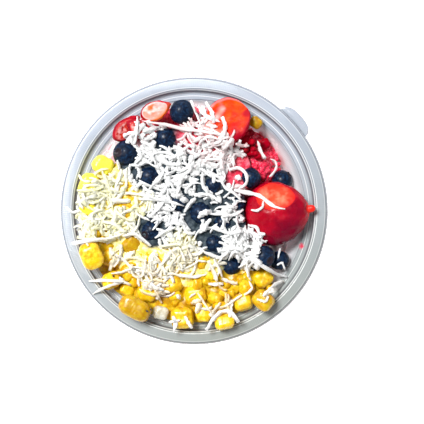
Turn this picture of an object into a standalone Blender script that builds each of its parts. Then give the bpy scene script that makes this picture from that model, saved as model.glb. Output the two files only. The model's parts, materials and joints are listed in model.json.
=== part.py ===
"""Pitaya bowl: a clear thin-walled bowl of pink pitaya blend, heaped with mango dice,
blueberries, strawberries and shredded coconut.

Metres, +Z up.  The origin is on the bowl's axis, in the plane that its foot stands on.  Seen
from above, +X points to the big strawberry and +Y to the halved one, and the mango lies on the
-X and -Y sides.  The tables of the fruit and of the shreds are in millimetres.
"""
import math
import random

import bmesh
import bpy
from mathutils import Euler, Matrix, Vector
from mathutils.bvhtree import BVHTree

MM = 0.001
GAP = 0.00035           # air left between two pieces that touch
SEED = 11

# The bowl: a vacuum-formed shell with a foot ring, a ledge for a lid and a wide hollow rim.
# Radii and heights are those of its underside, and the wall's thickness lies on top.
RIM_RADIUS = 0.0820
RIM_HEIGHT = 0.0612
LEDGE_RADIUS = 0.0685
LEDGE_HEIGHT = 0.0562
LIP_RADIUS = 0.0740     # where the rim's flat top begins
SKIRT_HEIGHT = 0.0558
FOOT_INNER = 0.0385
FOOT_OUTER = 0.0430
FOOT_RISE = 0.0014      # how far the middle of the floor is off the ground
WALL = 0.0008
TURN_STEPS = 40

# The tab that a finger lifts, on the rim's skirt
TAB_AZIMUTH = math.radians(41.5)
TAB_SPREAD = math.radians(8.0)
TAB_REACH = 0.0057
TAB_THICK = 0.0009
TAB_ROOT = 0.0007       # how far its plate runs into the skirt

# The blend: a heap that is lower along one side of the wall, with one mound of bare pulp
BLEND_TOP = 0.0515
BLEND_DIP = 0.0130
DIP_AZIMUTH = math.radians(12)
LEVEL_RADIUS = 0.0640
PULP_CENTRE = (0.0395, 0.0265)
PULP_SPREAD = 0.0070
PULP_RISE = 0.0095
LUMP_HEIGHT = 0.0006
LUMP_LENGTH = 0.0075

# The heap in the order in which it is laid: kind, x, y, length, width, turn in degrees, how
# far it is held above the blend, and whether it shows through the coconut.  A blueberry's turn
# is the side that its crown leans to.
HEAP = (
    ("blueberry", 55.0, 20.5, 13.5, 13.5, 40, 0, False),
    ("blueberry", 53.5, -31.5, 12.5, 12.5, 300, 9, False),
    ("blueberry", 36.0, -32.0, 13.0, 13.0, 250, 0, False),
    ("strawberry_big", 50.5, -1.5, 38.5, 39.5, 8, 0, True),
    ("strawberry_half", 18.5, 54.0, 33.0, 28.5, 200, 7, True),
    ("blueberry", 36.0, 19.0, 13.0, 13.0, 200, 3, True),
    ("blueberry", 26.0, 4.0, 13.5, 13.5, 20, 0, True),
    ("blueberry", 17.5, -7.5, 13.5, 13.5, 100, 0, True),
    ("blueberry", 12.0, 15.5, 14.0, 14.0, 320, 0, True),
    ("blueberry", 4.0, -1.5, 15.0, 15.0, 190, 1, True),
    ("blueberry", 12.5, -20.0, 14.0, 14.0, 230, 0, True),
    ("blueberry", 23.0, -34.0, 12.5, 12.5, 280, 1, True),
    ("blueberry", 44.0, -28.0, 14.0, 14.0, 330, 1, True),
    ("blueberry", -11.0, 4.0, 14.0, 14.0, 150, 0, True),
    ("blueberry", -26.0, -12.5, 14.5, 14.5, 210, 0, True),
    ("blueberry", -27.5, 20.5, 14.5, 14.5, 90, 0, True),
    ("blueberry", -17.5, 44.0, 15.0, 15.0, 60, 0, True),
    ("blueberry", -42.0, 35.0, 16.0, 16.0, 170, 1, True),
    ("blueberry", -7.5, 60.5, 15.5, 15.5, 135, 3, True),
    ("strawberry_slice", -44.5, 47.5, 22.0, 12.0, 42, 1, True),
    ("strawberry_slice", -31.0, 49.5, 19.0, 12.0, 150, 1, True),
    ("strawberry_slice", -25.0, 58.5, 20.0, 12.0, 24, 13, True),
    ("strawberry_die", 46.5, 44.5, 8.0, 7.0, 30, 0, True),
    ("mango", 38.0, 54.0, 8.0, 7.0, -40, 12, True),
    ("mango", -39.5, 5.5, 12.0, 11.0, -10, 0, True),
    ("mango", -50.0, 15.5, 12.5, 11.5, 40, 0, False),
    ("mango", -52.0, 2.0, 12.0, 11.0, 10, 0, False),
    ("mango", -51.0, -11.5, 11.5, 11.0, 85, 0, False),
    ("mango", -38.0, -20.5, 13.5, 12.0, 50, 0, True),
    ("mango", -25.0, -32.5, 13.0, 12.0, 65, 0, False),
    ("mango", -7.0, -27.5, 12.5, 11.5, 10, 0, True),
    ("mango", 3.5, -37.5, 11.0, 10.0, 75, 0, True),
    ("mango", 13.0, -36.0, 10.0, 7.0, 80, 0, True),
    ("mango", 29.0, -45.5, 12.5, 9.5, -20, 0, True),
    ("mango", 41.5, -43.0, 12.0, 10.5, 35, 0, True),
    ("mango", 16.0, -46.5, 12.0, 9.5, 5, 0, True),
    ("mango", 2.0, -50.5, 13.0, 12.0, 10, 0, True),
    ("mango", -11.5, -47.0, 13.0, 12.0, 15, 0, True),
    ("mango", -25.5, -46.0, 13.5, 12.0, 80, 0, True),
    ("mango", -38.0, -36.0, 12.0, 11.0, 25, 0, True),
    ("mango", -48.5, -27.0, 11.5, 11.0, -20, 0, True),
    ("mango", -48.5, -40.5, 11.5, 9.5, 20, 0, True),
    ("mango", -53.5, 30.0, 12.5, 11.0, -30, 0, True),
    ("mango", 17.0, -57.0, 12.0, 9.5, 5, 0, True),
    ("mango", 29.0, -57.0, 11.5, 10.0, 20, 0, True),
    ("mango", 40.5, -54.0, 12.5, 11.0, -40, 0, True),
    ("mango", -64.5, 17.5, 14.0, 11.0, 72, 3, True),
    ("mango", -65.0, 4.5, 10.0, 9.5, 85, 3, True),
    ("mango", -65.5, -8.0, 13.5, 11.0, 97, 3, True),
    ("mango", -61.0, -27.0, 16.5, 12.5, 112, 3, True),
    ("mango", -35.0, -58.5, 19.0, 12.0, -28, 3, True),
    ("mango", -40.0, -47.5, 9.0, 7.5, -25, 3, True),
    ("pale_pitaya_die", -20.5, -62.5, 9.0, 8.0, -15, 3, True),
    ("mango", -9.0, -63.0, 13.5, 12.5, 5, 3, True),
    ("mango", 5.0, -62.5, 11.0, 9.5, 85, 3, True),
    ("mango", 18.5, -67.0, 11.5, 8.5, 12, 3, True),
)
DIE_HEIGHT = 0.94       # of its width
DIE_ROUND = 0.20        # width of the worn edges, as a share of the die's half size
DIE_UNEVEN = 0.10       # how far a corner strays, as a share of the half size
BERRY_STEPS = 9
CROWN_LEAN = (35, 120)  # how far a blueberry's crown may lean from upright, in degrees
LEAN_IN = math.radians(12)      # a piece at the ledge leans in this much, one at the axis not
SLIDES = (0.0015, 0.0030, 0.0045)
SLIDE_COST = 1.0        # a millimetre aside counts as much as this share of one up
LAY_STEP = 0.0004
LAY_LIMIT = 0.030

# Coconut: a thin core over the fruit, with the shreds that show fused on
CORE_CENTRE = (-0.0028, 0.0034)
CORE_REACH = (33, 47, 49, 46, 61, 58, 50, 42)   # every 45 degrees from +X, in millimetres
CORE_TOP = 0.0128       # above the blend's plateau
CORE_BOTTOM = 0.0080
CORE_BUMP = 0.0008      # how far its top is uneven
CORE_EDGE = 0.0016      # thickness at the outline
CORE_SAG = 0.0010       # how much lower it lies at the wall
CORE_STEPS = 28
OPENING_DEPTH = 0.012   # how far up the core is cleared over fruit that shows
SHRED_WIDTH = 0.0019
SHRED_THICK = 0.0008
SHRED_REACH = 0.0012    # how far beside its middle line a shred feels for fruit
SHRED_FALL = 0.0020     # how far a stiff shred drops from one point to the next
SHRED_SUNK = 0.0011     # how deep its root lies in the core
OUTLINE_SHREDS = 19
TOP_SHREDS = 7
BARE_SIDE = 0.6         # cosine of the angle either side of the dip where the fruit lies bare
SHORTENED = 0.5         # a shred's length there, as a share

# Long shreds that stand out, in millimetres: start, end, and how far the middle bows aside
LONG_SHREDS = (
    ((26, 16), (48, 2), 5), ((-58, -2), (-79, 2), 2), ((-43, -34), (-62, -48), -2),
    ((26, -26), (44, -38), 1), ((29, -27), (34, -47), -2), ((10, -28), (13, -43), 1),
    ((-2, 44), (-33, 55), 3), ((-30, 34), (-36, 57), 2), ((22, 28), (33, 38), 3),
    ((10, 40), (21, 57), -3), ((-20, -44), (-22, -62), 2), ((4, -44), (12, -63), -3),
    ((-55, 14), (-74, 18), -2), ((-50, -16), (-72, -17), 2), ((6, -45), (24, -60), 4),
)

MATERIALS = {
    "clear_plastic": ((0.86, 0.89, 0.94), 0.12),
    "pitaya_blend": ((0.55, 0.02, 0.09), 0.45),
    "mango_flesh": ((0.93, 0.60, 0.04), 0.35),
    "blueberry_skin": ((0.02, 0.035, 0.10), 0.40),
    "strawberry_flesh": ((0.68, 0.02, 0.03), 0.30),
    "pale_pitaya_flesh": ((0.85, 0.84, 0.78), 0.35),
    "shredded_coconut": ((0.93, 0.92, 0.87), 0.60),
}


# --------------------------------------------------------------------- objects and meshes

def clear_scene():
    for obj in list(bpy.data.objects):
        bpy.data.objects.remove(obj, do_unlink=True)


def material(name):
    """The named material, made the first time it is asked for."""
    found = bpy.data.materials.get(name)
    if found:
        return found
    colour, roughness = MATERIALS[name]
    made = bpy.data.materials.new(name)
    made.use_nodes = True
    shader = made.node_tree.nodes["Principled BSDF"]
    shader.inputs["Base Color"].default_value = (*colour, 1.0)
    shader.inputs["Roughness"].default_value = roughness
    shader.inputs["Metallic"].default_value = 0.0
    return made


def add_object(name, shape, material_name, smooth_angle=45):
    """Make an object of a closed bmesh, in triangles with their faces pointing out."""
    bmesh.ops.remove_doubles(shape, verts=shape.verts, dist=1e-6)
    bmesh.ops.recalc_face_normals(shape, faces=shape.faces)
    bmesh.ops.triangulate(shape, faces=shape.faces)
    mesh = bpy.data.meshes.new(name)
    shape.to_mesh(mesh)
    shape.free()
    mesh.shade_smooth()
    mesh.set_sharp_from_angle(angle=math.radians(smooth_angle))
    mesh.materials.append(material(material_name))
    obj = bpy.data.objects.new(name, mesh)
    bpy.context.scene.collection.objects.link(obj)
    return obj


def rings_to_bmesh(rings, start=None, end=None):
    """Join equal rings of points by quads, and close both ends with a point or a flat face."""
    shape = bmesh.new()
    rows = [[shape.verts.new(point) for point in ring] for ring in rings]
    count = len(rows[0])
    for low, high in zip(rows, rows[1:]):
        for i in range(count):
            j = (i + 1) % count
            shape.faces.new((low[i], low[j], high[j], high[i]))
    for row, tip in ((rows[0], start), (rows[-1], end)):
        if tip is None:
            shape.faces.new(row)
            continue
        apex = shape.verts.new(tip)
        for i in range(count):
            shape.faces.new((row[i], row[(i + 1) % count], apex))
    return shape


def circle(radius, height, count):
    turns = [math.tau * i / count for i in range(count)]
    return [(radius * math.cos(turn), radius * math.sin(turn), height) for turn in turns]


def combine(obj, others, operation, solver="EXACT"):
    """Cut or join a set of objects in one Boolean step, apply it and remove the set."""
    group = bpy.data.collections.new("operands")
    bpy.context.scene.collection.children.link(group)
    for other in others:
        group.objects.link(other)
    step = obj.modifiers.new(operation, "BOOLEAN")
    step.operation = operation
    step.solver = solver
    step.operand_type = "COLLECTION"
    step.collection = group
    graph = bpy.context.evaluated_depsgraph_get()
    mesh = bpy.data.meshes.new_from_object(obj.evaluated_get(graph))
    obj.modifiers.clear()
    obj.data = mesh
    for other in others:
        bpy.data.objects.remove(other, do_unlink=True)
    bpy.data.collections.remove(group)


def keep_largest(obj):
    """Drop the loose scraps of a mesh."""
    shape = bmesh.new()
    shape.from_mesh(obj.data)
    left = set(shape.verts)
    parts = []
    while left:
        part, edge = set(), [left.pop()]
        while edge:
            vert = edge.pop()
            part.add(vert)
            near = {link.other_vert(vert) for link in vert.link_edges} & left
            left -= near
            edge += near
        parts.append(part)
    parts.sort(key=len)
    scraps = [vert for part in parts[:-1] for vert in part]
    bmesh.ops.delete(shape, geom=scraps, context="VERTS")
    shape.to_mesh(obj.data)
    shape.free()


# ------------------------------------------------------------------------------- the bowl

def bowl_outline():
    """The underside of the shell from the middle of the floor to the edge of the skirt."""
    return [
        (0.0, FOOT_RISE), (FOOT_INNER - 0.0016, FOOT_RISE), (FOOT_INNER, 0.0),
        (FOOT_OUTER, 0.0), (0.0475, 0.0016), (0.0515, 0.0052), (0.0545, 0.0115),
        (0.0603, 0.0300), (0.0650, 0.0460), (LEDGE_RADIUS, LEDGE_HEIGHT - 0.0004),
        (LIP_RADIUS - 0.0013, LEDGE_HEIGHT), (LIP_RADIUS - 0.0002, LEDGE_HEIGHT + 0.0013),
        (LIP_RADIUS + 0.0004, RIM_HEIGHT - 0.0006), (LIP_RADIUS + 0.0012, RIM_HEIGHT),
        (0.0800, RIM_HEIGHT), (0.0809, RIM_HEIGHT - 0.0009), (0.0813, SKIRT_HEIGHT + 0.0008),
        (RIM_RADIUS, SKIRT_HEIGHT),
    ]


def inner_line(points):
    """The profile moved to its left by the wall's thickness, with every stretch parallel."""
    moved = []
    for i, (x, z) in enumerate(points):
        here = Vector((x, z))
        after = Vector(points[min(i + 1, len(points) - 1)])
        before = Vector(points[max(i - 1, 0)])
        first = ((here - before) if i else (after - here)).normalized()
        second = (after - here).normalized() if after != here else first
        normal = Vector((-first.y - second.y, first.x + second.x)).normalized()
        stretch = 1.0 / max(normal.dot(Vector((-first.y, first.x))), 0.5)
        spot = here + normal * WALL * stretch
        moved.append((spot.x if i else 0.0, spot.y))
    return moved


def inner_radius(height):
    """Radius of the wall's inner side at a height, from the floor's corner to the ledge."""
    line = inner_line(bowl_outline())[4:10]
    for (low_radius, low), (high_radius, high) in zip(line, line[1:]):
        if height <= high:
            share = max(height - low, 0.0) / (high - low)
            return low_radius + (high_radius - low_radius) * share
    return line[-1][0]


def turned(profile):
    """Turn a profile that starts and ends on the axis once round it."""
    shape = bmesh.new()
    verts = [shape.verts.new((x, 0.0, z)) for x, z in profile]
    for first, second in zip(verts, verts[1:]):
        shape.edges.new((first, second))
    bmesh.ops.spin(shape, geom=shape.verts[:] + shape.edges[:], cent=(0, 0, 0), axis=(0, 0, 1),
                   angle=math.tau, steps=TURN_STEPS, use_merge=True)
    return shape


def lift_tab():
    """A thin plate that grows out of the skirt, with round corners."""
    steps = 9
    root = RIM_RADIUS - TAB_ROOT
    outline = []
    for i in range(steps + 1):
        share = -1 + 2 * i / steps
        reach = root + (TAB_REACH + TAB_ROOT) * (1 - abs(share) ** 3.2) ** 0.55
        outline.append((reach, TAB_AZIMUTH + TAB_SPREAD * share))
    for share in (0.5, 0.0, -0.5):
        outline.append((root - TAB_ROOT / 3, TAB_AZIMUTH + TAB_SPREAD * share))
    middle = SKIRT_HEIGHT + TAB_THICK / 2
    return rings_to_bmesh([[(reach * math.cos(azimuth), reach * math.sin(azimuth), height)
                            for reach, azimuth in outline]
                           for height in (middle - TAB_THICK / 2, middle + TAB_THICK / 2)])


def make_bowl():
    outer = bowl_outline()
    bowl = add_object("bowl", turned(outer + inner_line(outer)[::-1]), "clear_plastic", 30)
    combine(bowl, [add_object("tab", lift_tab(), "clear_plastic")], "UNION")
    return bowl


# ------------------------------------------------------------------------------ the blend

def blend_level(x, y):
    """Height of the blend's top: a plateau that sinks along one side, and a mound of pulp."""
    share = min(math.hypot(x, y) / LEVEL_RADIUS, 1.0) ** 2
    dip = (0.5 + 0.5 * math.cos(math.atan2(y, x) - DIP_AZIMUTH)) ** 3
    away = (x - PULP_CENTRE[0]) ** 2 + (y - PULP_CENTRE[1]) ** 2
    mound = PULP_RISE * math.exp(-away / (2 * PULP_SPREAD ** 2))
    lumps = LUMP_HEIGHT * math.sin(x / LUMP_LENGTH) * math.sin(y / LUMP_LENGTH + 1)
    return BLEND_TOP - BLEND_DIP * dip * share + mound + lumps


def make_blend():
    """The blend fills the bowl up to its own uneven top."""
    floor = FOOT_RISE + WALL + GAP
    corner = 0.0004         # the lowest ring that follows the wall is this much above the floor
    up_the_wall = (0.0, 0.14, 0.4, 0.72, 1.0)
    across_the_top = (0.93, 0.8, 0.65, 0.5, 0.34, 0.17)
    units = [Vector((x, y)) for x, y, _ in circle(1.0, 0.0, TURN_STEPS)]
    rings = [[(*(unit * 0.0455), floor) for unit in units]]
    for share in up_the_wall:
        ring = []
        for unit in units:
            height = floor + corner + (blend_level(*(unit * LEVEL_RADIUS)) - floor) * share
            ring.append((*(unit * (inner_radius(height) - GAP)), height))
        rings.append(ring)
    edge = rings[-1]
    for share in across_the_top:
        rings.append([(x * share, y * share, blend_level(x * share, y * share))
                      for x, y, _ in edge])
    shape = rings_to_bmesh(rings, (0, 0, floor), (0, 0, blend_level(0, 0)))
    return add_object("pitaya_blend", shape, "pitaya_blend", 50)


# ------------------------------------------------------------------------------ the fruit

def blueberry(diameter, _, rng):
    """A flattened ball with the crown's small dish at its top, which leans towards +X."""
    radius, flat = diameter / 2, 0.93
    rings = []
    for degrees in (-62, -32, -2, 28, 54):
        angle = math.radians(degrees)
        rings.append(circle(radius * math.cos(angle), radius * flat * math.sin(angle),
                            BERRY_STEPS))
    rings.append(circle(radius * 0.34, radius * flat * 0.97, BERRY_STEPS))
    shape = rings_to_bmesh(rings, (0, 0, -radius * flat), (0, 0, radius * flat * 0.80))
    return shape, Euler((0.0, math.radians(rng.uniform(*CROWN_LEAN)), 0.0))


def die(length, width, rng):
    """A die cut by hand: a block whose corners stray a little, with worn edges."""
    shape = bmesh.new()
    bmesh.ops.create_cube(shape, size=2.0)
    for vert in shape.verts:
        vert.co += Vector(rng.uniform(-DIE_UNEVEN, DIE_UNEVEN) for _ in range(3))
    bmesh.ops.bevel(shape, geom=shape.edges[:], offset=DIE_ROUND * 2, offset_type="OFFSET",
                    segments=1, profile=0.5, affect="EDGES")
    bmesh.ops.scale(shape, verts=shape.verts,
                    vec=(length / 2, width / 2, width * DIE_HEIGHT / 2))
    return shape, Euler((rng.uniform(-0.16, 0.16), rng.uniform(-0.16, 0.16), 0.0))


def whole_strawberry(length, width, height, nub=0.0, taper=0.68):
    """A berry lying along X with its tip at +X: a blunt shoulder that tapers to the tip, which
    is the fuller, the lower the power of the taper."""
    steps, count = 7, 12
    rings = []
    for i in range(1, steps):
        share = i / steps
        size = math.sin(math.pi * share ** 0.85) ** taper * (1.04 - 0.10 * share) / 2
        rings.append([((share - 0.5) * length, y * size * width, z * size * height)
                      for y, z, _ in circle(1.0, 0.0, count)])
    if nub:
        for reach, size in ((-0.0008, 0.0022), (nub - 0.0012, 0.0017)):
            rings.append([(length / 2 + reach, y, z) for y, z, _ in circle(size, 0.0, count)])
    return rings_to_bmesh(rings, (-length / 2, 0, 0), (length / 2 + nub, 0, 0))


def cut_flat(shape, point, normal):
    """Slice off what lies beyond a plane and close the cut."""
    geometry = shape.verts[:] + shape.edges[:] + shape.faces[:]
    bmesh.ops.bisect_plane(shape, geom=geometry, plane_co=point, plane_no=normal,
                           clear_outer=True)
    bmesh.ops.holes_fill(shape, edges=[edge for edge in shape.edges if edge.is_boundary])


def strawberry_big(length, width, rng):
    """A whole berry with a cut facet on its upper side, and its tip drawn out to a nub."""
    shape = whole_strawberry(length, width, width * 0.66, nub=0.0042, taper=0.46)
    cut_flat(shape, (0.004, 0.0070, 0.0100), (0.18, 0.52, 0.83))
    return shape, Euler((0.0, math.radians(-11), 0.0))


def strawberry_half(length, width, rng):
    """Half a berry, cut face up and leaning to one side."""
    shape = whole_strawberry(length, width, width * 0.9)
    cut_flat(shape, (0, 0, 0.0015), (0, 0, 1))
    return shape, Euler((math.radians(23), math.radians(4), 0.0))


def strawberry_slice(length, width, rng):
    """A slice lengthways: two parallel cuts either side of the berry's middle."""
    shape = whole_strawberry(length, width, width * 0.9)
    half = 0.0026
    cut_flat(shape, (0, 0, half), (0, 0, 1))
    cut_flat(shape, (0, 0, -half), (0, 0, -1))
    return shape, Euler((rng.uniform(-0.15, 0.15), rng.uniform(-0.15, 0.15), 0.0))


KINDS = {
    "blueberry": (blueberry, "blueberry_skin"),
    "mango": (die, "mango_flesh"),
    "strawberry_big": (strawberry_big, "strawberry_flesh"),
    "strawberry_half": (strawberry_half, "strawberry_flesh"),
    "strawberry_slice": (strawberry_slice, "strawberry_flesh"),
    "strawberry_die": (die, "strawberry_flesh"),
    "pale_pitaya_die": (die, "pale_pitaya_flesh"),
}


def make_fruit(standing, rng):
    """Make and lay every piece of the heap; returns the pieces and whether each shows."""
    total = {kind: sum(row[0] == kind for row in HEAP) for kind in KINDS}
    made = dict.fromkeys(KINDS, 0)
    fruit = []
    for kind, x, y, length, width, turn, lift, seen in HEAP:
        made[kind] += 1
        name = f"{kind}_{made[kind]:02d}" if total[kind] > 1 else kind
        build, material_name = KINDS[kind]
        shape, lean = build(length * MM, width * MM, rng)
        obj = add_object(name, shape, material_name)
        lean_in = LEAN_IN * (x * x + y * y) * MM * MM / LEDGE_RADIUS ** 2
        turned_in = Matrix.Rotation(lean_in, 3, (y, -x, 0.0))
        about_z = Matrix.Rotation(math.radians(turn), 3, "Z")
        obj.rotation_euler = (turned_in @ about_z @ lean.to_matrix()).to_euler()
        lay(obj, (x * MM, y * MM), lift * MM, standing)
        fruit.append((obj, seen))
    return fruit


# -------------------------------------------------------- laying pieces without an overlap

def turned_points(obj, swell=0.0):
    """The piece's points turned but not yet moved, each pushed out by the swell."""
    turn = obj.rotation_euler.to_matrix()
    return [turn @ (vert.co + vert.normal * swell) for vert in obj.data.vertices]


def tree(points, obj, move=Vector()):
    faces = [tuple(face.vertices) for face in obj.data.polygons]
    return BVHTree.FromPolygons([point + move for point in points], faces)


def lay(obj, place, lift, standing):
    """Let a piece down on the heap: it slides a few millimetres to lie as low as it can."""
    points = turned_points(obj, GAP)
    start = blend_level(*place) - min(point.z for point in points) - 0.001 + lift
    slides = [Vector((0.0, 0.0))]
    for reach in SLIDES:
        slides += [Vector((x, y)) for x, y, _ in circle(reach, 0.0, 8)]
    best, spot = LAY_LIMIT, Vector((*place, start + LAY_LIMIT))
    for slide in slides:
        cost, height = slide.length * SLIDE_COST, start
        while cost < best:
            move = Vector((place[0] + slide.x, place[1] + slide.y, height))
            body = tree(points, obj, move)
            if not any(body.overlap(other) for other in standing):
                best, spot = cost, move
                break
            height += LAY_STEP
            cost += LAY_STEP
    obj.location = spot
    standing.append(tree(turned_points(obj), obj, spot))


def top_of(trees, x, y):
    """Height of the highest surface under a point seen from above, or None."""
    hits = [body.ray_cast(Vector((x, y, 0.15)), Vector((0, 0, -1)))[0] for body in trees]
    return max((hit.z for hit in hits if hit), default=None)


# ---------------------------------------------------------------------------- the coconut

def core_reach(azimuth):
    """How far the coconut lies from its middle, eased between the eight given reaches."""
    place = (azimuth % math.tau) / math.tau * len(CORE_REACH)
    before = int(place) % len(CORE_REACH)
    after = (before + 1) % len(CORE_REACH)
    ease = 0.5 - 0.5 * math.cos(math.pi * (place - int(place)))
    reach = CORE_REACH[before] * (1 - ease) + CORE_REACH[after] * ease
    return (reach + 1.6 * math.sin(7 * azimuth) + 1.3 * math.sin(13 * azimuth + 1)) * MM


def core_spot(azimuth, share):
    """The point at a share of the way from the coconut's middle to its outline."""
    reach = core_reach(azimuth) * share
    return Vector((CORE_CENTRE[0] + reach * math.cos(azimuth),
                   CORE_CENTRE[1] + reach * math.sin(azimuth)))


def core_shape(rng):
    """A bumpy blanket that lies on the heap and thins out to its outline."""
    shares = (0.22, 0.44, 0.64, 0.82)
    middle = (CORE_BOTTOM + CORE_TOP) / 2
    layers = [(share, CORE_BOTTOM) for share in shares]
    layers += [(1.0, middle - CORE_EDGE / 2), (1.0, middle + CORE_EDGE / 2)]
    layers += [(share, CORE_TOP) for share in shares[::-1]]
    rings = []
    for share, above in layers:
        bump = CORE_BUMP if above == CORE_TOP else 0.0
        ring = []
        for i in range(CORE_STEPS):
            spot = core_spot(math.tau * i / CORE_STEPS, share)
            sag = CORE_SAG * (spot.length / LEVEL_RADIUS) ** 2
            ring.append((*spot, BLEND_TOP + above - sag + rng.uniform(-bump, bump)))
        rings.append(ring)
    return rings_to_bmesh(rings, (*CORE_CENTRE, BLEND_TOP + CORE_BOTTOM),
                          (*CORE_CENTRE, BLEND_TOP + CORE_TOP))


def cutter_for(obj, seen):
    """The room that a piece of fruit needs in the coconut, open above if the piece shows."""
    shape = bmesh.new()
    for point in turned_points(obj, GAP):
        shape.verts.new(point + obj.location)
        if seen:
            shape.verts.new(point + obj.location + Vector((0, 0, OPENING_DEPTH)))
    hull = bmesh.ops.convex_hull(shape, input=shape.verts[:])
    spare = {item for item in hull["geom_interior"] + hull["geom_unused"]
             if isinstance(item, bmesh.types.BMVert)}
    bmesh.ops.delete(shape, geom=list(spare), context="VERTS")
    return add_object("cutter", shape, "shredded_coconut")


def bent_route(start, heading, length, bend, count):
    """Points along an arc that starts in one heading and turns by the bend."""
    spots = [Vector(start)]
    for i in range(count - 1):
        turn = heading + bend * i / (count - 1)
        step = Vector((math.cos(turn), math.sin(turn))) * length / (count - 1)
        spots.append(spots[-1] + step)
    return spots


def bowed_route(start, end, bow, count):
    """Points from a start to an end, bowed aside in the middle like half a sine wave."""
    first, last = Vector(start) * MM, Vector(end) * MM
    aside = (last - first).normalized().orthogonal() * bow * MM
    shares = [i / (count - 1) for i in range(count)]
    return [first.lerp(last, share) + aside * math.sin(math.pi * share) for share in shares]


def rooted(route, core, fruit):
    """The route moved aside by a few millimetres, if it takes that to root it in bare coconut."""
    for reach in (0.0, *SLIDES):
        for x, y, _ in circle(reach, 0.0, 8):
            root = route[0] + Vector((x, y))
            bed = top_of([core], *root)
            if bed is not None and bed > top_of(fruit, *root):
                return [spot + Vector((x, y)) for spot in route]
    return None


def drape(route, arch, core, fruit):
    """Lay a route on the core and the fruit, stiffly, with its first point sunk in the core."""
    heights = [top_of([core], *route[0]) - SHRED_SUNK]
    feel = [Vector((0.0, 0.0))] + [Vector((x, y)) for x, y, _ in circle(SHRED_REACH, 0, 4)]
    for i, spot in enumerate(route[1:], 1):
        under = [top_of(fruit, *(spot + aside)) for aside in feel]
        under = max(height for height in under if height is not None)
        bed = top_of([core], *spot) or 0.0
        rise = arch * math.sin(math.pi * i / (len(route) - 1))
        low = max(under + GAP + SHRED_THICK, bed + SHRED_THICK / 4) + rise
        heights.append(max(low, heights[-1] - SHRED_FALL))
    for i in range(len(heights) - 2, 1, -1):
        heights[i] = max(heights[i], (heights[i - 1] + heights[i + 1]) / 2)
    return [Vector((*spot, height)) for spot, height in zip(route, heights)]


def strip_shape(path, width, roll):
    """A flat strip along a path, rolled a little about its own length."""
    rings = []
    for i, point in enumerate(path):
        along = path[min(i + 1, len(path) - 1)] - path[max(i - 1, 0)]
        level = Vector((along.y, -along.x, 0)).normalized()
        side = (level + Vector((0, 0, roll))).normalized() * width / 2
        up = side.cross(along).normalized() * SHRED_THICK / 2
        rings.append([point + side + up, point - side + up, point - side - up,
                      point + side - up])
    return rings_to_bmesh(rings)


def shred_routes(rng):
    """The long shreds, those round the core's outline and those across its top."""
    for start, end, bow in LONG_SHREDS:
        yield bowed_route(start, end, bow, 6), 0.001
    for i in range(OUTLINE_SHREDS + TOP_SHREDS):
        azimuth, share = rng.uniform(0, math.tau), math.sqrt(rng.uniform(0.02, 0.7))
        heading, length = rng.uniform(0, math.tau), rng.uniform(0.010, 0.020)
        if i < OUTLINE_SHREDS:
            azimuth = math.tau * (i + rng.uniform(-0.3, 0.3)) / OUTLINE_SHREDS
            share, heading = rng.uniform(0.80, 0.92), azimuth + rng.uniform(-0.9, 0.9)
        if math.cos(azimuth - DIP_AZIMUTH) > BARE_SIDE:
            length *= SHORTENED
        bend, arch = rng.uniform(-1.6, 1.6), rng.uniform(0.0004, 0.0020)
        yield bent_route(core_spot(azimuth, share), heading, length, bend, 5), arch


def make_shreds(core, fruit, rng):
    """Strips along the routes, without those that would touch a piece of fruit or the bowl."""
    strips = []
    for route, arch in shred_routes(rng):
        width, roll = SHRED_WIDTH * rng.uniform(0.75, 1.2), rng.uniform(-0.4, 0.4)
        route = rooted(route, core, fruit)
        if route is None:
            continue
        path = drape(route, arch, core, fruit)
        strip = add_object("shred", strip_shape(path, width, roll), "shredded_coconut")
        swollen = tree(turned_points(strip, GAP), strip)
        if any(swollen.overlap(body) for body in fruit):
            bpy.data.objects.remove(strip, do_unlink=True)
        else:
            strips.append(strip)
    return strips


def make_coconut(fruit, standing, rng):
    coconut = add_object("shredded_coconut", core_shape(rng), "shredded_coconut", 60)
    combine(coconut, [cutter_for(obj, seen) for obj, seen in fruit], "DIFFERENCE")
    keep_largest(coconut)
    core = tree(turned_points(coconut), coconut)
    combine(coconut, make_shreds(core, standing, rng), "UNION", "MANIFOLD")
    keep_largest(coconut)


# ------------------------------------------------------------------------------- assembly

def main():
    clear_scene()
    rng = random.Random(SEED)
    standing = [tree(turned_points(obj), obj) for obj in (make_bowl(), make_blend())]
    fruit = make_fruit(standing, rng)
    make_coconut(fruit, standing, rng)


main()
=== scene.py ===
# %% [markdown]
# # A pitaya bowl, seen from straight above
#
# The real thing is a clear, thin-walled plastic bowl of thick pitaya blend under a heap of
# mango dice, blueberries, strawberries and shredded coconut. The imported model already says
# where every piece lies and how large it is. This script dresses each solid: it keeps the
# solid's form and adds the surface that the eye expects, worked out as numpy arrays.

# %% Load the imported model
import math

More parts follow.
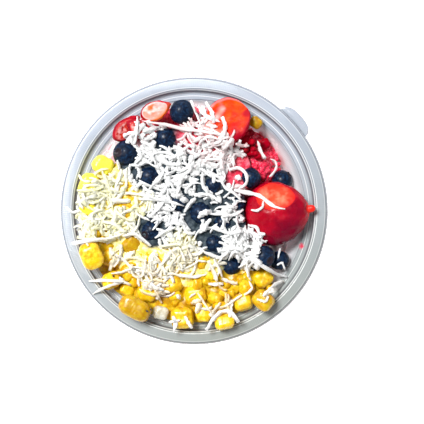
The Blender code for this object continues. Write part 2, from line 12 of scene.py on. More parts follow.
import bpy
import numpy as np
from mathutils import Euler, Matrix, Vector
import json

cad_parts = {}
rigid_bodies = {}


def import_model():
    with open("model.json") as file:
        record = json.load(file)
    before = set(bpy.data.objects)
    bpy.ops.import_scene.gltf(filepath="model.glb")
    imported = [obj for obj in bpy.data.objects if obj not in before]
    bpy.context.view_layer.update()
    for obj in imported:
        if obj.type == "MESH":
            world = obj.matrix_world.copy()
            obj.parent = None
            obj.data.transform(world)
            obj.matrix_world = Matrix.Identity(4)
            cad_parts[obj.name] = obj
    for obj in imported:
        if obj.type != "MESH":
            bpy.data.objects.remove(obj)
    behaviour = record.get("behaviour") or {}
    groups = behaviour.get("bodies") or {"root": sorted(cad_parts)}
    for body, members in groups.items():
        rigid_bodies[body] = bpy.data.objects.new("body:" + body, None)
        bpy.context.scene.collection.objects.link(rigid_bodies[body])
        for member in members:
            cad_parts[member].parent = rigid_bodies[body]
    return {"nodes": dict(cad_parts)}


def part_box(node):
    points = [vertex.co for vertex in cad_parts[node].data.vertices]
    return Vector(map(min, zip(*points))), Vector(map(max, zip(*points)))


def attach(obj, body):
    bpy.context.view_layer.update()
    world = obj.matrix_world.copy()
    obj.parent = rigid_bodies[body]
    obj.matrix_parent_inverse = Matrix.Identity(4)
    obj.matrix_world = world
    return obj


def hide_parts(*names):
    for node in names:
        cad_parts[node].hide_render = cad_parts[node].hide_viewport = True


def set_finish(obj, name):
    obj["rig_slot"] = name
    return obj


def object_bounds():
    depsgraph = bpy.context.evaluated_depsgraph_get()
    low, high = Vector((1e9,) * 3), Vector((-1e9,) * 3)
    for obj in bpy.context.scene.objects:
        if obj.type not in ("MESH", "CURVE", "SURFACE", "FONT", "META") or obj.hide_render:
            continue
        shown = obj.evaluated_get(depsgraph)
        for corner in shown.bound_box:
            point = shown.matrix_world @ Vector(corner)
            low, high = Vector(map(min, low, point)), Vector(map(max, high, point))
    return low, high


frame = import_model()
cad_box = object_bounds()
MM = 0.001
print("solids in the frame:", len(frame["nodes"]))

# %% [markdown]
# ## The camera
#
# The photograph looks straight down from a little over half a metre. The bowl sits left of the
# picture's middle, so the camera hangs a centimetre to the right of the bowl's axis. The lens
# follows from how much the picture takes in at the height of the rim.

# %% Hang the camera over the bowl
RIM_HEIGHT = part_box("bowl")[1].z
RIM_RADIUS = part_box("bowl")[1].y
ABOVE_RIM = 450 * MM
WIDTH_AT_RIM = 258.6 * MM
PICTURE_MIDDLE = (11.0 * MM, -0.8 * MM)
camera = bpy.data.objects.new("camera", bpy.data.cameras.new("camera"))
camera.data.lens = camera.data.sensor_width * ABOVE_RIM / WIDTH_AT_RIM
camera.location = (*PICTURE_MIDDLE, RIM_HEIGHT + ABOVE_RIM)
bpy.context.scene.collection.objects.link(camera)
bpy.context.scene.camera = camera
print("lens, mm:", round(camera.data.lens, 1))

# %% [markdown]
# ## Soft light
#
# A food picture like this one is lit high and bright, so that the coconut and the table run
# into pure white. One large soft lamp stands high at the upper left, and a pale sky fills the
# shade. Blender's Standard view keeps the fruit's colours clean where the light is strong.

# %% Light the table
KEY_POWER = 20.0
KEY_PLACE = Vector((-0.40, 0.38, 1.00))
KEY_AIM = Vector((0.0, 0.0, 0.06))
KEY_SIZE = 0.34
SKY = (0.95, 0.97, 1.0, 1.0)
SKY_STRENGTH = 0.30
key_light = bpy.data.objects.new("key_light", bpy.data.lights.new("key_light", "AREA"))
key_light.data.energy = KEY_POWER
key_light.data.size = KEY_SIZE
key_light.location = KEY_PLACE
key_light.rotation_euler = (KEY_PLACE - KEY_AIM).to_track_quat("Z", "Y").to_euler()
bpy.context.scene.collection.objects.link(key_light)
world = bpy.data.worlds.new("pale_sky")
world.use_nodes = True
sky = world.node_tree.nodes["Background"].inputs
sky["Color"].default_value = SKY
sky["Strength"].default_value = SKY_STRENGTH
bpy.context.scene.world = world
bpy.context.scene.view_settings.view_transform = "Standard"
print("lamp above the bowl, m:", round((KEY_PLACE - KEY_AIM).length, 2))

# %% [markdown]
# ## From arrays to a mesh
#
# Every new piece is a set of points in a numpy array and faces that count through them. Two
# kinds of faces are enough: the net of a grid that closes round, and the fan that closes its
# pole. A closed surface has a volume, and its sign tells whether the faces point outwards.
# Small helpers then carry points round the axis and roughen them with smooth noise.

# %% Mesh helpers
def net(rows, columns):
    """Quads between rows of points, each row closed round."""
    row, column = np.meshgrid(np.arange(rows - 1), np.arange(columns), indexing="ij")
    after = (column + 1) % columns
    corners = (row * columns + column, row * columns + after,
               (row + 1) * columns + after, (row + 1) * columns + column)
    return np.stack(corners, -1).reshape(-1, 4)


def fan(first, columns, pole):
    """Triangles from one row of points to a pole."""
    column = np.arange(columns)
    return np.stack((first + (column + 1) % columns, first + column,
                     np.full(columns, pole)), -1)


def closed_net(rows, columns):
    """A net and the fans to its two poles, which are the two points after its own."""
    count = rows * columns
    return [net(rows, columns), fan(0, columns, count),
            fan(count - columns, columns, count + 1)[:, ::-1]]


def signed_volume(points, face_sets):
    """Sum of the tetrahedra between the origin and each triangle; positive if faces point out."""
    total = 0.0
    for faces in face_sets:
        for i in range(1, faces.shape[1] - 1):
            a, b, c = points[faces[:, 0]], points[faces[:, i]], points[faces[:, i + 1]]
            total += (a * np.cross(b, c)).sum() / 6
    return total


def facing_out(points, face_sets):
    """The same faces, each turned over if their volume comes out below zero."""
    if signed_volume(points - points.mean(0), face_sets) < 0:
        return [faces[:, ::-1] for faces in face_sets]
    return face_sets


def make_piece(name, points, face_sets, finish, slot, nodes=(), **attributes):
    """Put the arrays in a mesh object that rides on the bowl and stands for its CAD solids."""
    points = np.asarray(points, float).reshape(-1, 3)
    face_sets = facing_out(points, face_sets)
    sizes = np.concatenate([np.full(len(faces), faces.shape[1]) for faces in face_sets])
    corners = np.concatenate([faces.ravel() for faces in face_sets])
    mesh = bpy.data.meshes.new(name)
    mesh.vertices.add(len(points))
    mesh.vertices.foreach_set("co", points.astype(np.float32).ravel())
    mesh.loops.add(len(corners))
    mesh.loops.foreach_set("vertex_index", corners.astype(np.int32))
    mesh.polygons.add(len(sizes))
    mesh.polygons.foreach_set("loop_start", (np.cumsum(sizes) - sizes).astype(np.int32))
    for key, values in attributes.items():
        mesh.attributes.new(key, "FLOAT", "POINT")
        mesh.attributes[key].data.foreach_set("value", values.astype(np.float32).ravel())
    mesh.update(calc_edges=True)
    mesh.shade_smooth()
    mesh.materials.append(finish)
    piece = bpy.data.objects.new(name, mesh)
    bpy.context.scene.collection.objects.link(piece)
    if slot:
        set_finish(piece, slot)
        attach(piece, "root")
    if nodes:
        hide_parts(*nodes)
    return piece


# %% Helpers for shapes
def full_turn(steps):
    """Angles evenly round a circle."""
    return np.arange(steps) * math.tau / steps


def round_axis(radius, turns, height):
    """Points at a radius and an angle round the Z axis, at a height."""
    places = radius * np.cos(turns), radius * np.sin(turns), height
    return np.stack(np.broadcast_arrays(*places), -1)


def unit(vectors):
    """The same headings, each over its own length."""
    return vectors / np.linalg.norm(vectors, axis=-1, keepdims=True)


def ripples(points, length, seed, waves=28):
    """Smooth noise: the sum of sine waves with random headings and phases, whose lengths are
    near the one asked for, over the root of their number. It swings mostly between -1 and 1."""
    rng = np.random.default_rng(seed)
    headings = unit(rng.normal(size=(waves, 3)))
    pushes = headings * math.tau / (length * rng.uniform(0.6, 1.5, (waves, 1)))
    phases = rng.uniform(0, math.tau, waves)
    return np.sin(points @ pushes.T + phases).sum(-1) / math.sqrt(waves)


def smoothstep(low, high, values):
    """0 up to low, 1 from high on, and t * t * (3 - 2t) between."""
    share = np.clip((values - low) / (high - low), 0, 1)
    return share * share * (3 - 2 * share)


# %% [markdown]
# ## Shared shader groups
#
# Three effects come back in several finishes, so each is a node group: a mottle that mixes
# three colours by two sizes of noise, the fine relief of moist flesh, and a soft round patch
# for smears of juice. The groups only put out colours, masks and heights, and each finish
# keeps its own Principled shader.

# %% Node helpers
def fill(tree, socket, value):
    """Link a socket to another one, or set it to a plain value; a colour gets an alpha of 1."""
    if isinstance(value, bpy.types.NodeSocket):
        tree.links.new(value, socket)
    elif socket.type == "RGBA":
        socket.default_value = (*value, 1.0)
    else:
        socket.default_value = value


def add(tree, kind, values=(), **settings):
    """Add a shader node, set its settings and fill its sockets; returns its outputs."""
    made = tree.nodes.new("ShaderNode" + kind)
    for key, value in settings.items():
        setattr(made, key, value)
    for key, value in dict(values).items():
        fill(tree, made.inputs[key], value)
    return made.outputs


def maths(tree, operation, *values, **settings):
    """A Math node: one operation on up to three sockets or numbers."""
    return add(tree, "Math", enumerate(values), operation=operation, **settings)[0]


def remap(tree, value, low, high, start=0.0, end=1.0, **settings):
    """Carry a value from the range low to high to the range start to end, and hold it there."""
    values = {"Value": value, 1: low, 2: high, 3: start, 4: end}
    return add(tree, "MapRange", values, **settings)[0]


def noise(tree, place, scale, detail):
    """Noise between 0 and 1, with so many swings to a metre."""
    return add(tree, "TexNoise", {"Vector": place, "Scale": scale, "Detail": detail})["Fac"]


def attribute(tree, name):
    """The number that each point of the mesh carries under a name."""
    return add(tree, "Attribute", attribute_name=name)["Fac"]


def colour_mix(tree, share, first, second, blend="MIX"):
    """Mix two colours, each a socket or a value, by a share."""
    values = {0: share, 6: first, 7: second}
    return add(tree, "Mix", values, data_type="RGBA", blend_type=blend)[2]


# %% The three groups
def new_group(name, inputs, outputs):
    """An empty node group; returns it with what it is given and what it puts out."""
    group = bpy.data.node_groups.new(name, "ShaderNodeTree")
    for direction, sockets in (("INPUT", inputs), ("OUTPUT", outputs)):
        for label, kind in sockets.items():
            group.interface.new_socket(label, in_out=direction, socket_type="NodeSocket" + kind)
    given = group.nodes.new("NodeGroupInput").outputs
    return group, given, group.nodes.new("NodeGroupOutput").inputs


def mottle_group():
    """Three colours mixed by broad patches and by fine specks."""
    group, given, out = new_group(
        "mottle", {"Light": "Color", "Middle": "Color", "Dark": "Color",
                   "Patch Scale": "Float", "Speck Scale": "Float"},
        {"Color": "Color", "Patches": "Float"})
    place = add(group, "TexCoord")["Object"]
    broad = remap(group, noise(group, place, given["Patch Scale"], 3.0), 0.35, 0.65)
    fine = remap(group, noise(group, place, given["Speck Scale"], 2.0), 0.45, 0.75)
    base = colour_mix(group, broad, given["Dark"], given["Middle"])
    fill(group, out["Color"], colour_mix(group, fine, base, given["Light"]))
    fill(group, out["Patches"], broad)
    return group


def flesh_group():
    """Moist cut flesh: soft dents with a fine grain on them, wettest in the dents."""
    group, given, out = new_group("moist_flesh", {"Dent Scale": "Float"},
                                  {"Height": "Float", "Wetness": "Float"})
    place = add(group, "TexCoord")["Object"]
    dents = noise(group, place, given["Dent Scale"], 2.0)
    grain = noise(group, place, 2500.0, 1.0)
    fill(group, out["Height"], maths(group, "MULTIPLY_ADD", grain, 0.25, dents))
    fill(group, out["Wetness"], remap(group, dents, 0.4, 0.65, 0.16, 0.42))
    return group


def smear_group():
    """A mask that is strong round one point and breaks up towards its edge."""
    group, given, out = new_group("smear", {"Place": "Vector", "Reach": "Float"},
                                  {"Mask": "Float"})
    place = add(group, "TexCoord")["Object"]
    away = add(group, "VectorMath", {0: place, 1: given["Place"]}, operation="DISTANCE")["Value"]
    share = maths(group, "DIVIDE", away, given["Reach"])
    broken = maths(group, "MULTIPLY_ADD", noise(group, place, 350.0, 3.0), 1.3, share)
    fill(group, out["Mask"], remap(group, broken, 1.45, 0.95))
    return group


MOTTLE, FLESH, SMEAR = mottle_group(), flesh_group(), smear_group()
print("shared groups:", MOTTLE.name, FLESH.name, SMEAR.name)

# %% Finish helpers
def new_finish(name, **plain):
    """A material whose Principled shader has the given plain values; returns it with its tree
    and the shader's sockets."""
    made = bpy.data.materials.new(name)
    made.use_nodes = True
    shader = made.node_tree.nodes["Principled BSDF"].inputs
    for key, value in plain.items():
        fill(made.node_tree, shader[key.replace("_", " ")], value)
    return made, made.node_tree, shader


def mottled(tree, light, middle, dark, patches, specks):
    """The shared mottle in three colours, with so many patches and specks to a metre."""
    values = {"Light": light, "Middle": middle, "Dark": dark,
              "Patch Scale": patches, "Speck Scale": specks}
    return add(tree, "Group", values, node_tree=MOTTLE)


def bumped(tree, shader, height, depth):
    """Feed a height through a Bump node to the shader's normal."""
    bump = add(tree, "Bump", {"Height": height, "Distance": depth, "Strength": 1.0})
    fill(tree, shader["Normal"], bump["Normal"])


def fleshy(tree, shader, depth, dents):
    """Give a finish the shared flesh's relief; returns how wet the flesh is."""
    flesh = add(tree, "Group", {"Dent Scale": dents}, node_tree=FLESH)
    bumped(tree, shader, flesh["Height"], depth)
    return flesh["Wetness"]


def moist(tree, shader, depth, dents):
    """Give a finish the shared relief and the uneven wetness of cut flesh."""
    fill(tree, shader["Roughness"], fleshy(tree, shader, depth, dents))


# %% [markdown]
# ## The table
#
# Only a plain pale sheet. It glows like a photographer's light table, so that the picture's
# background runs out to white, but not where the bowl stands: there its shadow stays, and
# shows through the clear rim.

# %% Lay the table
TABLE_RINGS = np.array((84, 92, 200, 600, 1600, 3000, 5000, 7000)) * MM
TABLE_RISE = np.array((0, 0, 0, 0, 0, 150, 900, 2400)) * MM     # it sweeps up as a backdrop
TABLE_GLOW = (0, 1, 1, 1, 1, 1, 1, 1)
TABLE_MIDDLE = (-1.5 * MM, 0.0)     # behind the rim as the camera sees it
TABLE_DROP = 0.2 * MM               # a hair under the bowl's foot


def table_finish():
    """Nearly white paper, which glows as far as its attribute says."""
    finish, tree, shader = new_finish("lit_white_sheet", Roughness=0.9, Emission_Strength=1.0)
    paper = mottled(tree, (0.93, 0.93, 0.94), (0.92, 0.92, 0.93), (0.90, 0.90, 0.91),
                    6.0, 900.0)["Color"]
    lit = colour_mix(tree, attribute(tree, "glow"), (0, 0, 0), paper)
    fill(tree, shader["Base Color"], paper)
    fill(tree, shader["Emission Color"], lit)
    return finish


def lay_table(around=96):
    """A wide round sheet of rings round the bowl, a hair under its foot; far away it rises."""
    rings = round_axis(TABLE_RINGS[:, None], full_turn(around), TABLE_RISE[:, None])
    points = np.vstack((rings.reshape(-1, 3), (0, 0, 0))) + (*TABLE_MIDDLE, -TABLE_DROP)
    faces = [net(len(rings), around), fan(0, around, len(points) - 1)]
    glow = np.append(np.repeat(TABLE_GLOW, around), 0)
    return make_piece("table", points, faces, table_finish(), None, glow=glow)


table = lay_table()
print("table faces:", len(table.data.polygons))

# %% [markdown]
# ## The clear bowl
#
# A vacuum-formed bowl is one sheet, pulled over a mould: foot ring, sloping side, a ledge for
# the lid, and a wide hollow rim. So its shape is one profile, carried round the axis. The
# profile has few corners, and each is rounded by a short curve before it is turned. The wall's
# inner side is the same line moved along its own normal.

# %% The bowl's profile
WALL = 0.8 * MM
SKIRT_HEIGHT = 55.8 * MM            # where the rim's outer side ends
OUTLINE = np.array([
    (0.0, 1.4), (36.9, 1.4), (38.5, 0.0), (43.0, 0.0), (47.5, 1.6), (51.5, 5.2), (54.5, 11.5),
    (60.3, 30.0), (65.0, 46.0), (68.5, 55.8), (72.7, 56.2), (73.8, 57.5), (74.4, 60.6),
    (75.2, 61.2), (80.0, 61.2), (80.9, 60.3), (81.3, 56.6), (82.0, 55.8),
]) * MM
CORNER, RIM_CORNER = 2.4 * MM, 0.5 * MM     # how far from a corner its rounding starts
TURN_STEPS = 240


def rounded(line, reach, steps=5):
    """Replace each inner corner by a quadratic curve that starts and ends on its two sides, at
    a reach from it that takes up at most 0.42 of a side."""
    before, corner, after = line[:-2], line[1:-1], line[2:]
    to_before, to_after = before - corner, after - corner
    lengths = [np.linalg.norm(side, axis=1, keepdims=True) for side in (to_before, to_after)]
    cuts = [np.minimum(reach, length * 0.42) / length for length in lengths]
    start, end = corner + to_before * cuts[0], corner + to_after * cuts[1]
    t = np.linspace(0, 1, steps)[None, :, None]
    curve = ((1 - t) ** 2 * start[:, None] + 2 * t * (1 - t) * corner[:, None]
             + t ** 2 * end[:, None])
    return np.vstack((line[:1], curve.reshape(-1, 2), line[-1:]))


def moved_in(line, thickness):
    """The line moved to its left, towards the bowl's inside, by a thickness."""
    along = unit(np.gradient(line, axis=0))
    moved = line + np.stack((-along[:, 1], along[:, 0]), -1) * thickness
    moved[0, 0] = 0.0
    return moved


UNDERSIDE = rounded(OUTLINE, np.where(OUTLINE[1:-1, :1] < 60 * MM, CORNER, RIM_CORNER))
INSIDE = moved_in(UNDERSIDE, WALL)


def turned(profile, steps):
    """Carry a profile that starts and ends on the axis round it; returns points and faces."""
    ring = profile[1:-1]
    points = round_axis(ring[:, :1], full_turn(steps), ring[:, 1:]).reshape(-1, 3)
    poles = [(0.0, 0.0, profile[0, 1]), (0.0, 0.0, profile[-1, 1])]
    return np.vstack((points, poles)), closed_net(len(ring), steps)


print("corners of the profile:", len(OUTLINE), "rounded to points:", len(UNDERSIDE))

# %% What shows on the plastic
RIB_COUNT = 420.0                   # the fine ribs round the rim
RIB_DEPTH = 0.03 * MM
# Painted light on the plastic: the dark rings paint shade and the bright rings paint glints where
# the profile's corners bend the light.
DARK_RINGS = (                      # radius and half width in mm, and strength
    (68.7, 0.40, 0.85), (73.4, 0.35, 0.95), (74.5, 0.30, 0.6), (80.7, 0.40, 0.8),
    (82.3, 0.45, 0.6))
BRIGHT_RINGS = ((70.9, 0.35, 0.5), (74.0, 0.30, 0.6), (75.1, 0.35, 0.5), (79.9, 0.35, 0.3))
MILKY, ROSY, JUICE = (0.97, 0.94, 0.96), (0.62, 0.37, 0.38), (0.60, 0.05, 0.09)
DULL_PINK = (0.66, 0.50, 0.52)
# Partly painted light: the milky smear at (50, 44) also lightens the shadow that the halved berry
# casts on the wall.
SMEARS = (                          # where juice ran, how far in mm, and its colour
    ((60.0, 22.0, 42.0), 9.0, DULL_PINK), ((50.0, 44.0, 44.0), 11.0, MILKY),
    ((64.0, 4.0, 46.0), 7.0, MILKY), ((56.5, 33.0, 42.0), 9.0, ROSY),
    ((54.5, 32.0, 42.0), 2.6, JUICE),
    ((66.2, -21.8, 57.0), 2.6, JUICE), ((61.0, -16.0, 46.0), 4.0, ROSY),
)
JUICE_COVER = 0.35
TAB_FROM, TAB_COVER = (82.2 * MM, 82.8 * MM), 0.75      # beyond this radius is only the tab
SHADOW_SHARE = 0.35                 # clear plastic lets most of the lamp through
DIP_AZIMUTH = math.radians(12)      # the side where the blend lies lower
DIP_EDGE = (10 * MM, 40 * MM)       # how far along that side the dip begins and is full
HAZE_FROM = (50 * MM, 34 * MM)      # the wall's haze starts at this height off and on that side
WALL_TOP, RIM_FOOT = 55 * MM, 57 * MM       # between these heights the wall turns to the rim
INNER_EDGE = (68.5 * MM, 66.0 * MM)         # the wall's own tint sets in between these radii
# Painted shade: the rim greys on the side that looks away from the lamp.
AWAY_FROM_LAMP = (0.35, -0.94, 0.0)
SHADED_FROM = (-30 * MM, 80 * MM)   # how far that way the rim begins to grey and is full grey
print("rings on the rim:", len(DARK_RINGS) + len(BRIGHT_RINGS), "smears:", len(SMEARS))


# %% The bowl's finish
def ring_mask(tree, radius, rings):
    """The sum of soft lines, each at a radius, with half a width (mm) and a strength."""
    total = 0.0
    for at, half, strength in rings:
        off = maths(tree, "ABSOLUTE", maths(tree, "SUBTRACT", radius, at * MM))
        line = remap(tree, off, 0.0, half * MM, strength, 0.0, interpolation_type="SMOOTHSTEP")
        total = maths(tree, "ADD", total, line)
    return total


def far_along(tree, place, direction):
    """How far a place lies along a direction: their dot product."""
    return add(tree, "VectorMath", {0: place, 1: direction}, operation="DOT_PRODUCT")["Value"]


def plastic_cover(tree, place, radius, dark, bright):
    """How much the plastic hides: little face on, more edge on, most on the rim, its rings and
    the tab. On the side of the dip the haze starts lower."""
    edge = add(tree, "LayerWeight", {"Blend": 0.5})["Facing"]
    height = add(tree, "SeparateXYZ", {"Vector": place})["Z"]
    to_dip = far_along(tree, place, (math.cos(DIP_AZIMUTH), math.sin(DIP_AZIMUTH), 0.0))
    dip_side = remap(tree, to_dip, *DIP_EDGE)
    haze_from = remap(tree, dip_side, 0.0, 1.0, *HAZE_FROM)
    face_on = remap(tree, height, haze_from, RIM_FOOT, 0.20, 0.80)
    milky = maths(tree, "MULTIPLY_ADD", dip_side, 0.5, 0.30)
    edge_on = remap(tree, height, WALL_TOP, RIM_FOOT, milky, 0.50)
    cover = remap(tree, edge, 0.2, 0.9, face_on, edge_on)
    cover = maths(tree, "MULTIPLY_ADD", dark, 0.5, cover)
    cover = maths(tree, "MULTIPLY_ADD", bright, 0.4, cover, use_clamp=True)
    return remap(tree, radius, *TAB_FROM, cover, TAB_COVER)


def plastic_tint(tree, place, radius, ribs, dark, bright):
    """Slate on the rim, with painted shade that greys it where it looks away from the lamp,
    pale on the wall; painted shade between the fine ribs and the painted dark and bright
    rings go over both."""
    clear = mottled(tree, (0.365, 0.41, 0.475), (0.345, 0.39, 0.455), (0.32, 0.36, 0.42),
                    30.0, 60.0)["Color"]
    shaded = remap(tree, far_along(tree, place, AWAY_FROM_LAMP), *SHADED_FROM)
    rim = colour_mix(tree, shaded, clear, (0.285, 0.31, 0.285))
    tint = colour_mix(tree, remap(tree, radius, *INNER_EDGE), rim, (0.80, 0.81, 0.83))
    # painted shade between the fine ribs
    shade = remap(tree, ribs, -1.0, 1.0, 0.0, 0.16)
    for share, colour in ((shade, (0.26, 0.28, 0.30)), (dark, (0.09, 0.08, 0.10)),
                          (bright, (0.98, 0.98, 0.95))):
        tint = colour_mix(tree, share, tint, colour)
    return tint


def clear_plastic():
    """Thin clear plastic with fine ribs. Each corner of the profile bends light, so a dark or
    a bright ring is painted there as shade or glint. Juice has run over it here and there."""
    finish, tree, shader = new_finish("clear_plastic", Roughness=0.12, IOR=1.45,
                                      Coat_Weight=0.10, Coat_Roughness=0.05,
                                      Specular_IOR_Level=0.30)
    place = add(tree, "TexCoord")["Object"]
    plan = add(tree, "VectorMath", {0: place, 1: (1, 1, 0)}, operation="MULTIPLY")[0]
    radius = add(tree, "VectorMath", {0: plan}, operation="LENGTH")["Value"]
    across = add(tree, "SeparateXYZ", {"Vector": place})
    turn = maths(tree, "ARCTAN2", across["Y"], across["X"])
    ribs = maths(tree, "SINE", maths(tree, "MULTIPLY", turn, RIB_COUNT))
    rings = [ring_mask(tree, radius, lines) for lines in (DARK_RINGS, BRIGHT_RINGS)]
    cover = plastic_cover(tree, place, radius, *rings)
    tint = plastic_tint(tree, place, radius, ribs, *rings)
    for spot, reach, colour in SMEARS:
        values = {"Place": [value * MM for value in spot], "Reach": reach * MM}
        juice = add(tree, "Group", values, node_tree=SMEAR)["Mask"]
        tint = colour_mix(tree, juice, tint, colour)
        cover = maths(tree, "MULTIPLY_ADD", juice, JUICE_COVER, cover, use_clamp=True)
    passing = add(tree, "LightPath")["Is Shadow Ray"]
    blocked = remap(tree, passing, 0.0, 1.0, 1.0, SHADOW_SHARE)
    fill(tree, shader["Base Color"], tint)
    fill(tree, shader["Alpha"], maths(tree, "MULTIPLY", cover, blocked))
    bumped(tree, shader, ribs, RIB_DEPTH)
    return finish


# %% Turn the bowl and add its lift tab
TAB_AZIMUTH = math.radians(41.5)
TAB_SPREAD = math.radians(8.0)
TAB_REACH = 5.7 * MM
TAB_THICK = 0.9 * MM
TAB_BEVEL = 0.3 * MM
TAB_ROOT = RIM_RADIUS - 0.4 * MM
TAB_FOOT = SKIRT_HEIGHT + 0.05 * MM


def lift_tab(across=48):
    """A thin plate on the skirt: its reach falls off towards both ends as the flat-topped arch
    (1 - |t|^3.2)^0.55. Returns a loop of five points at each step across."""
    share = np.linspace(-0.999, 0.999, across)
    reach = RIM_RADIUS + TAB_REACH * (1 - np.abs(share) ** 3.2) ** 0.55
    turn = TAB_AZIMUTH + TAB_SPREAD * share
    loop = ((TAB_ROOT, 0), (reach - TAB_BEVEL, 0), (reach, TAB_THICK / 2),
            (reach - TAB_BEVEL, TAB_THICK), (TAB_ROOT, TAB_THICK))
    return np.stack([round_axis(radius, turn, TAB_FOOT + rise) for radius, rise in loop], 1)


def make_bowl():
    """The turned shell with the tab's plate let into its skirt, as one piece."""
    shell, shell_faces = turned(np.vstack((UNDERSIDE, INSIDE[::-1])), TURN_STEPS)
    tab = lift_tab()
    rows, columns = tab.shape[:2]
    tab = tab.reshape(-1, 3)
    caps = np.array([np.arange(columns)[::-1], (rows - 1) * columns + np.arange(columns)])
    tab_faces = [faces + len(shell) for faces in facing_out(tab, [net(rows, columns), caps])]
    return make_piece("clear_bowl", np.vstack((shell, tab)),
                      facing_out(shell, shell_faces) + tab_faces,
                      clear_plastic(), "clear_plastic", ["bowl"])


bowl = make_bowl()
print("bowl faces:", len(bowl.data.polygons))

# %% [markdown]
# ## The pitaya blend
#
# Thick crimson blend fills the bowl. Its top is a plateau that sinks along the right-hand wall,
# with one mound of coarse pulp between the strawberries. One grid makes it: rings run from the
# middle to the wall, down the wall and back under to the axis. Its side reaches a little way
# into the plastic, so that no air shows between the two.

# %% The blend's level
BLEND_TOP = 51.5 * MM
BLEND_DIP = 13.0 * MM
LEVEL_RADIUS = 64.0 * MM
PULP_CENTRE = np.array((39.5, 26.5)) * MM
PULP_SPREAD = 7.0 * MM
PULP_RISE = 9.5 * MM
INTO_WALL = 0.15 * MM
WALL_RADII = (45 * MM, 69 * MM)     # between these the plastic's upper side is the wall


def blend_level(x, y):
    """Height of the blend: the plateau less a dip towards one side, plus a bell of pulp."""
    share = np.minimum(np.hypot(x, y) / LEVEL_RADIUS, 1.0) ** 2
    dip = (0.5 + 0.5 * np.cos(np.arctan2(y, x) - DIP_AZIMUTH)) ** 3
    away = (x - PULP_CENTRE[0]) ** 2 + (y - PULP_CENTRE[1]) ** 2
    mound = PULP_RISE * np.exp(-away / (2 * PULP_SPREAD ** 2))
    return BLEND_TOP - BLEND_DIP * dip * share + mound


def wall_radius(height):
    """Radius of the wall's inner side at a height."""
    rising = INSIDE[(INSIDE[:, 0] > WALL_RADII[0]) & (INSIDE[:, 0] < WALL_RADII[1])]
    return np.interp(height, rising[:, 1], rising[:, 0])


# %% Shape the blend
FINE_GRAIN, COARSE_GRAIN = (2.4 * MM, 0.32), (6 * MM, 0.5)     # length, and height in mm


def blend_grid(steps=400, across=100, down=26):
    """Rings of points: across the top, which is grained up to the wall, and down the wall to
    the floor. Returns them with the heights of the top's and the floor's middle."""
    turns = full_turn(steps)
    spokes = np.stack((np.cos(turns), np.sin(turns)), -1)
    brim_height = blend_level(*(spokes * LEVEL_RADIUS).T)
    brim = wall_radius(brim_height) + INTO_WALL
    shares = np.linspace(0, 1, across + 1)[1:, None, None]
    top = spokes[None] * brim[None, :, None] * shares
    height = blend_level(top[..., 0], top[..., 1])
    flat = np.dstack((top, height))
    grain = sum(ripples(flat, length, seed) * depth
                for (length, depth), seed in ((FINE_GRAIN, 5), (COARSE_GRAIN, 6)))
    inland = smoothstep(1.0, 0.96, shares[..., 0])
    top = np.dstack((top, height + grain * MM * inland))
    floor = INSIDE[0, 1] + 0.1 * MM
    fall = np.linspace(0, 1, down + 1)[1:, None]
    levels = brim_height * (1 - fall) + floor * fall
    side = round_axis(wall_radius(levels) + INTO_WALL, turns, levels)
    return np.concatenate((top, side)), blend_level(0.0, 0.0), floor


def pitaya_finish():
    """Crimson pulp: wet, with pale and dark patches; frosted where it thins out at the wall."""
    finish, tree, shader = new_finish("pitaya_pulp", Subsurface_Weight=0.15,
                                      Subsurface_Scale=0.002, Coat_Weight=0.15,
                                      Coat_Roughness=0.15, Specular_IOR_Level=0.3)
    pulp = mottled(tree, (0.95, 0.13, 0.20), (0.92, 0.020, 0.075), (0.70, 0.004, 0.040),
                   230.0, 600.0)["Color"]
    frost = mottled(tree, (0.84, 0.81, 0.81), (0.68, 0.62, 0.62), (0.62, 0.36, 0.40),
                    150.0, 500.0)["Color"]
    fill(tree, shader["Base Color"], colour_mix(tree, attribute(tree, "pale"), pulp, frost))
    moist(tree, shader, 0.4 * MM, 650.0)
    return finish


FROST_EDGE = 50 * MM                # beyond this radius the blend is frosted on two sides
FROST_SPREAD = 7 * MM
FROST_BELOW = 1.5 * MM              # and down to so far below its lowest level
FROST_SIDES = ((DIP_AZIMUTH, 0.15, 0.55), (math.radians(146), 0.93, 0.97))


def frosted(points):
    """How pale the blend is: rises beyond an uneven radius, on the side of its dip and in one
    narrow sector opposite. Each side is an azimuth and two cosines of the angle from it."""
    x, y = points[:, 0], points[:, 1]
    edge = FROST_EDGE + ripples(points, 9 * MM, 8) * 3 * MM
    azimuth = np.arctan2(y, x)
    sides = [smoothstep(far, near, np.cos(azimuth - side)) for side, far, near in FROST_SIDES]
    return smoothstep(0, FROST_SPREAD, np.hypot(x, y) - edge) * np.max(sides, axis=0)


def make_blend():
    """Close the grid at the axis, and frost it where its top shows."""
    rings, top, floor = blend_grid()
    points = np.vstack((rings.reshape(-1, 3), (0, 0, top), (0, 0, floor)))
    pale = frosted(points) * (points[:, 2] > BLEND_TOP - BLEND_DIP - FROST_BELOW)
    return make_piece("crimson_blend", points, closed_net(*rings.shape[:2]), PULP,
                      "pitaya_blend", ["pitaya_blend"], pale=pale)


PULP = pitaya_finish()
blend = make_blend()
print("blend faces:", len(blend.data.polygons))

# %% [markdown]
# ## A ball made of six grids
#
# Dice, berries and grains are all seen from their own middle: along every direction there is
# one distance to the surface. A ball of directions is the same for all of them. Six square
# grids on the faces of a cube, blown up to a sphere, spread them evenly and leave no pole.

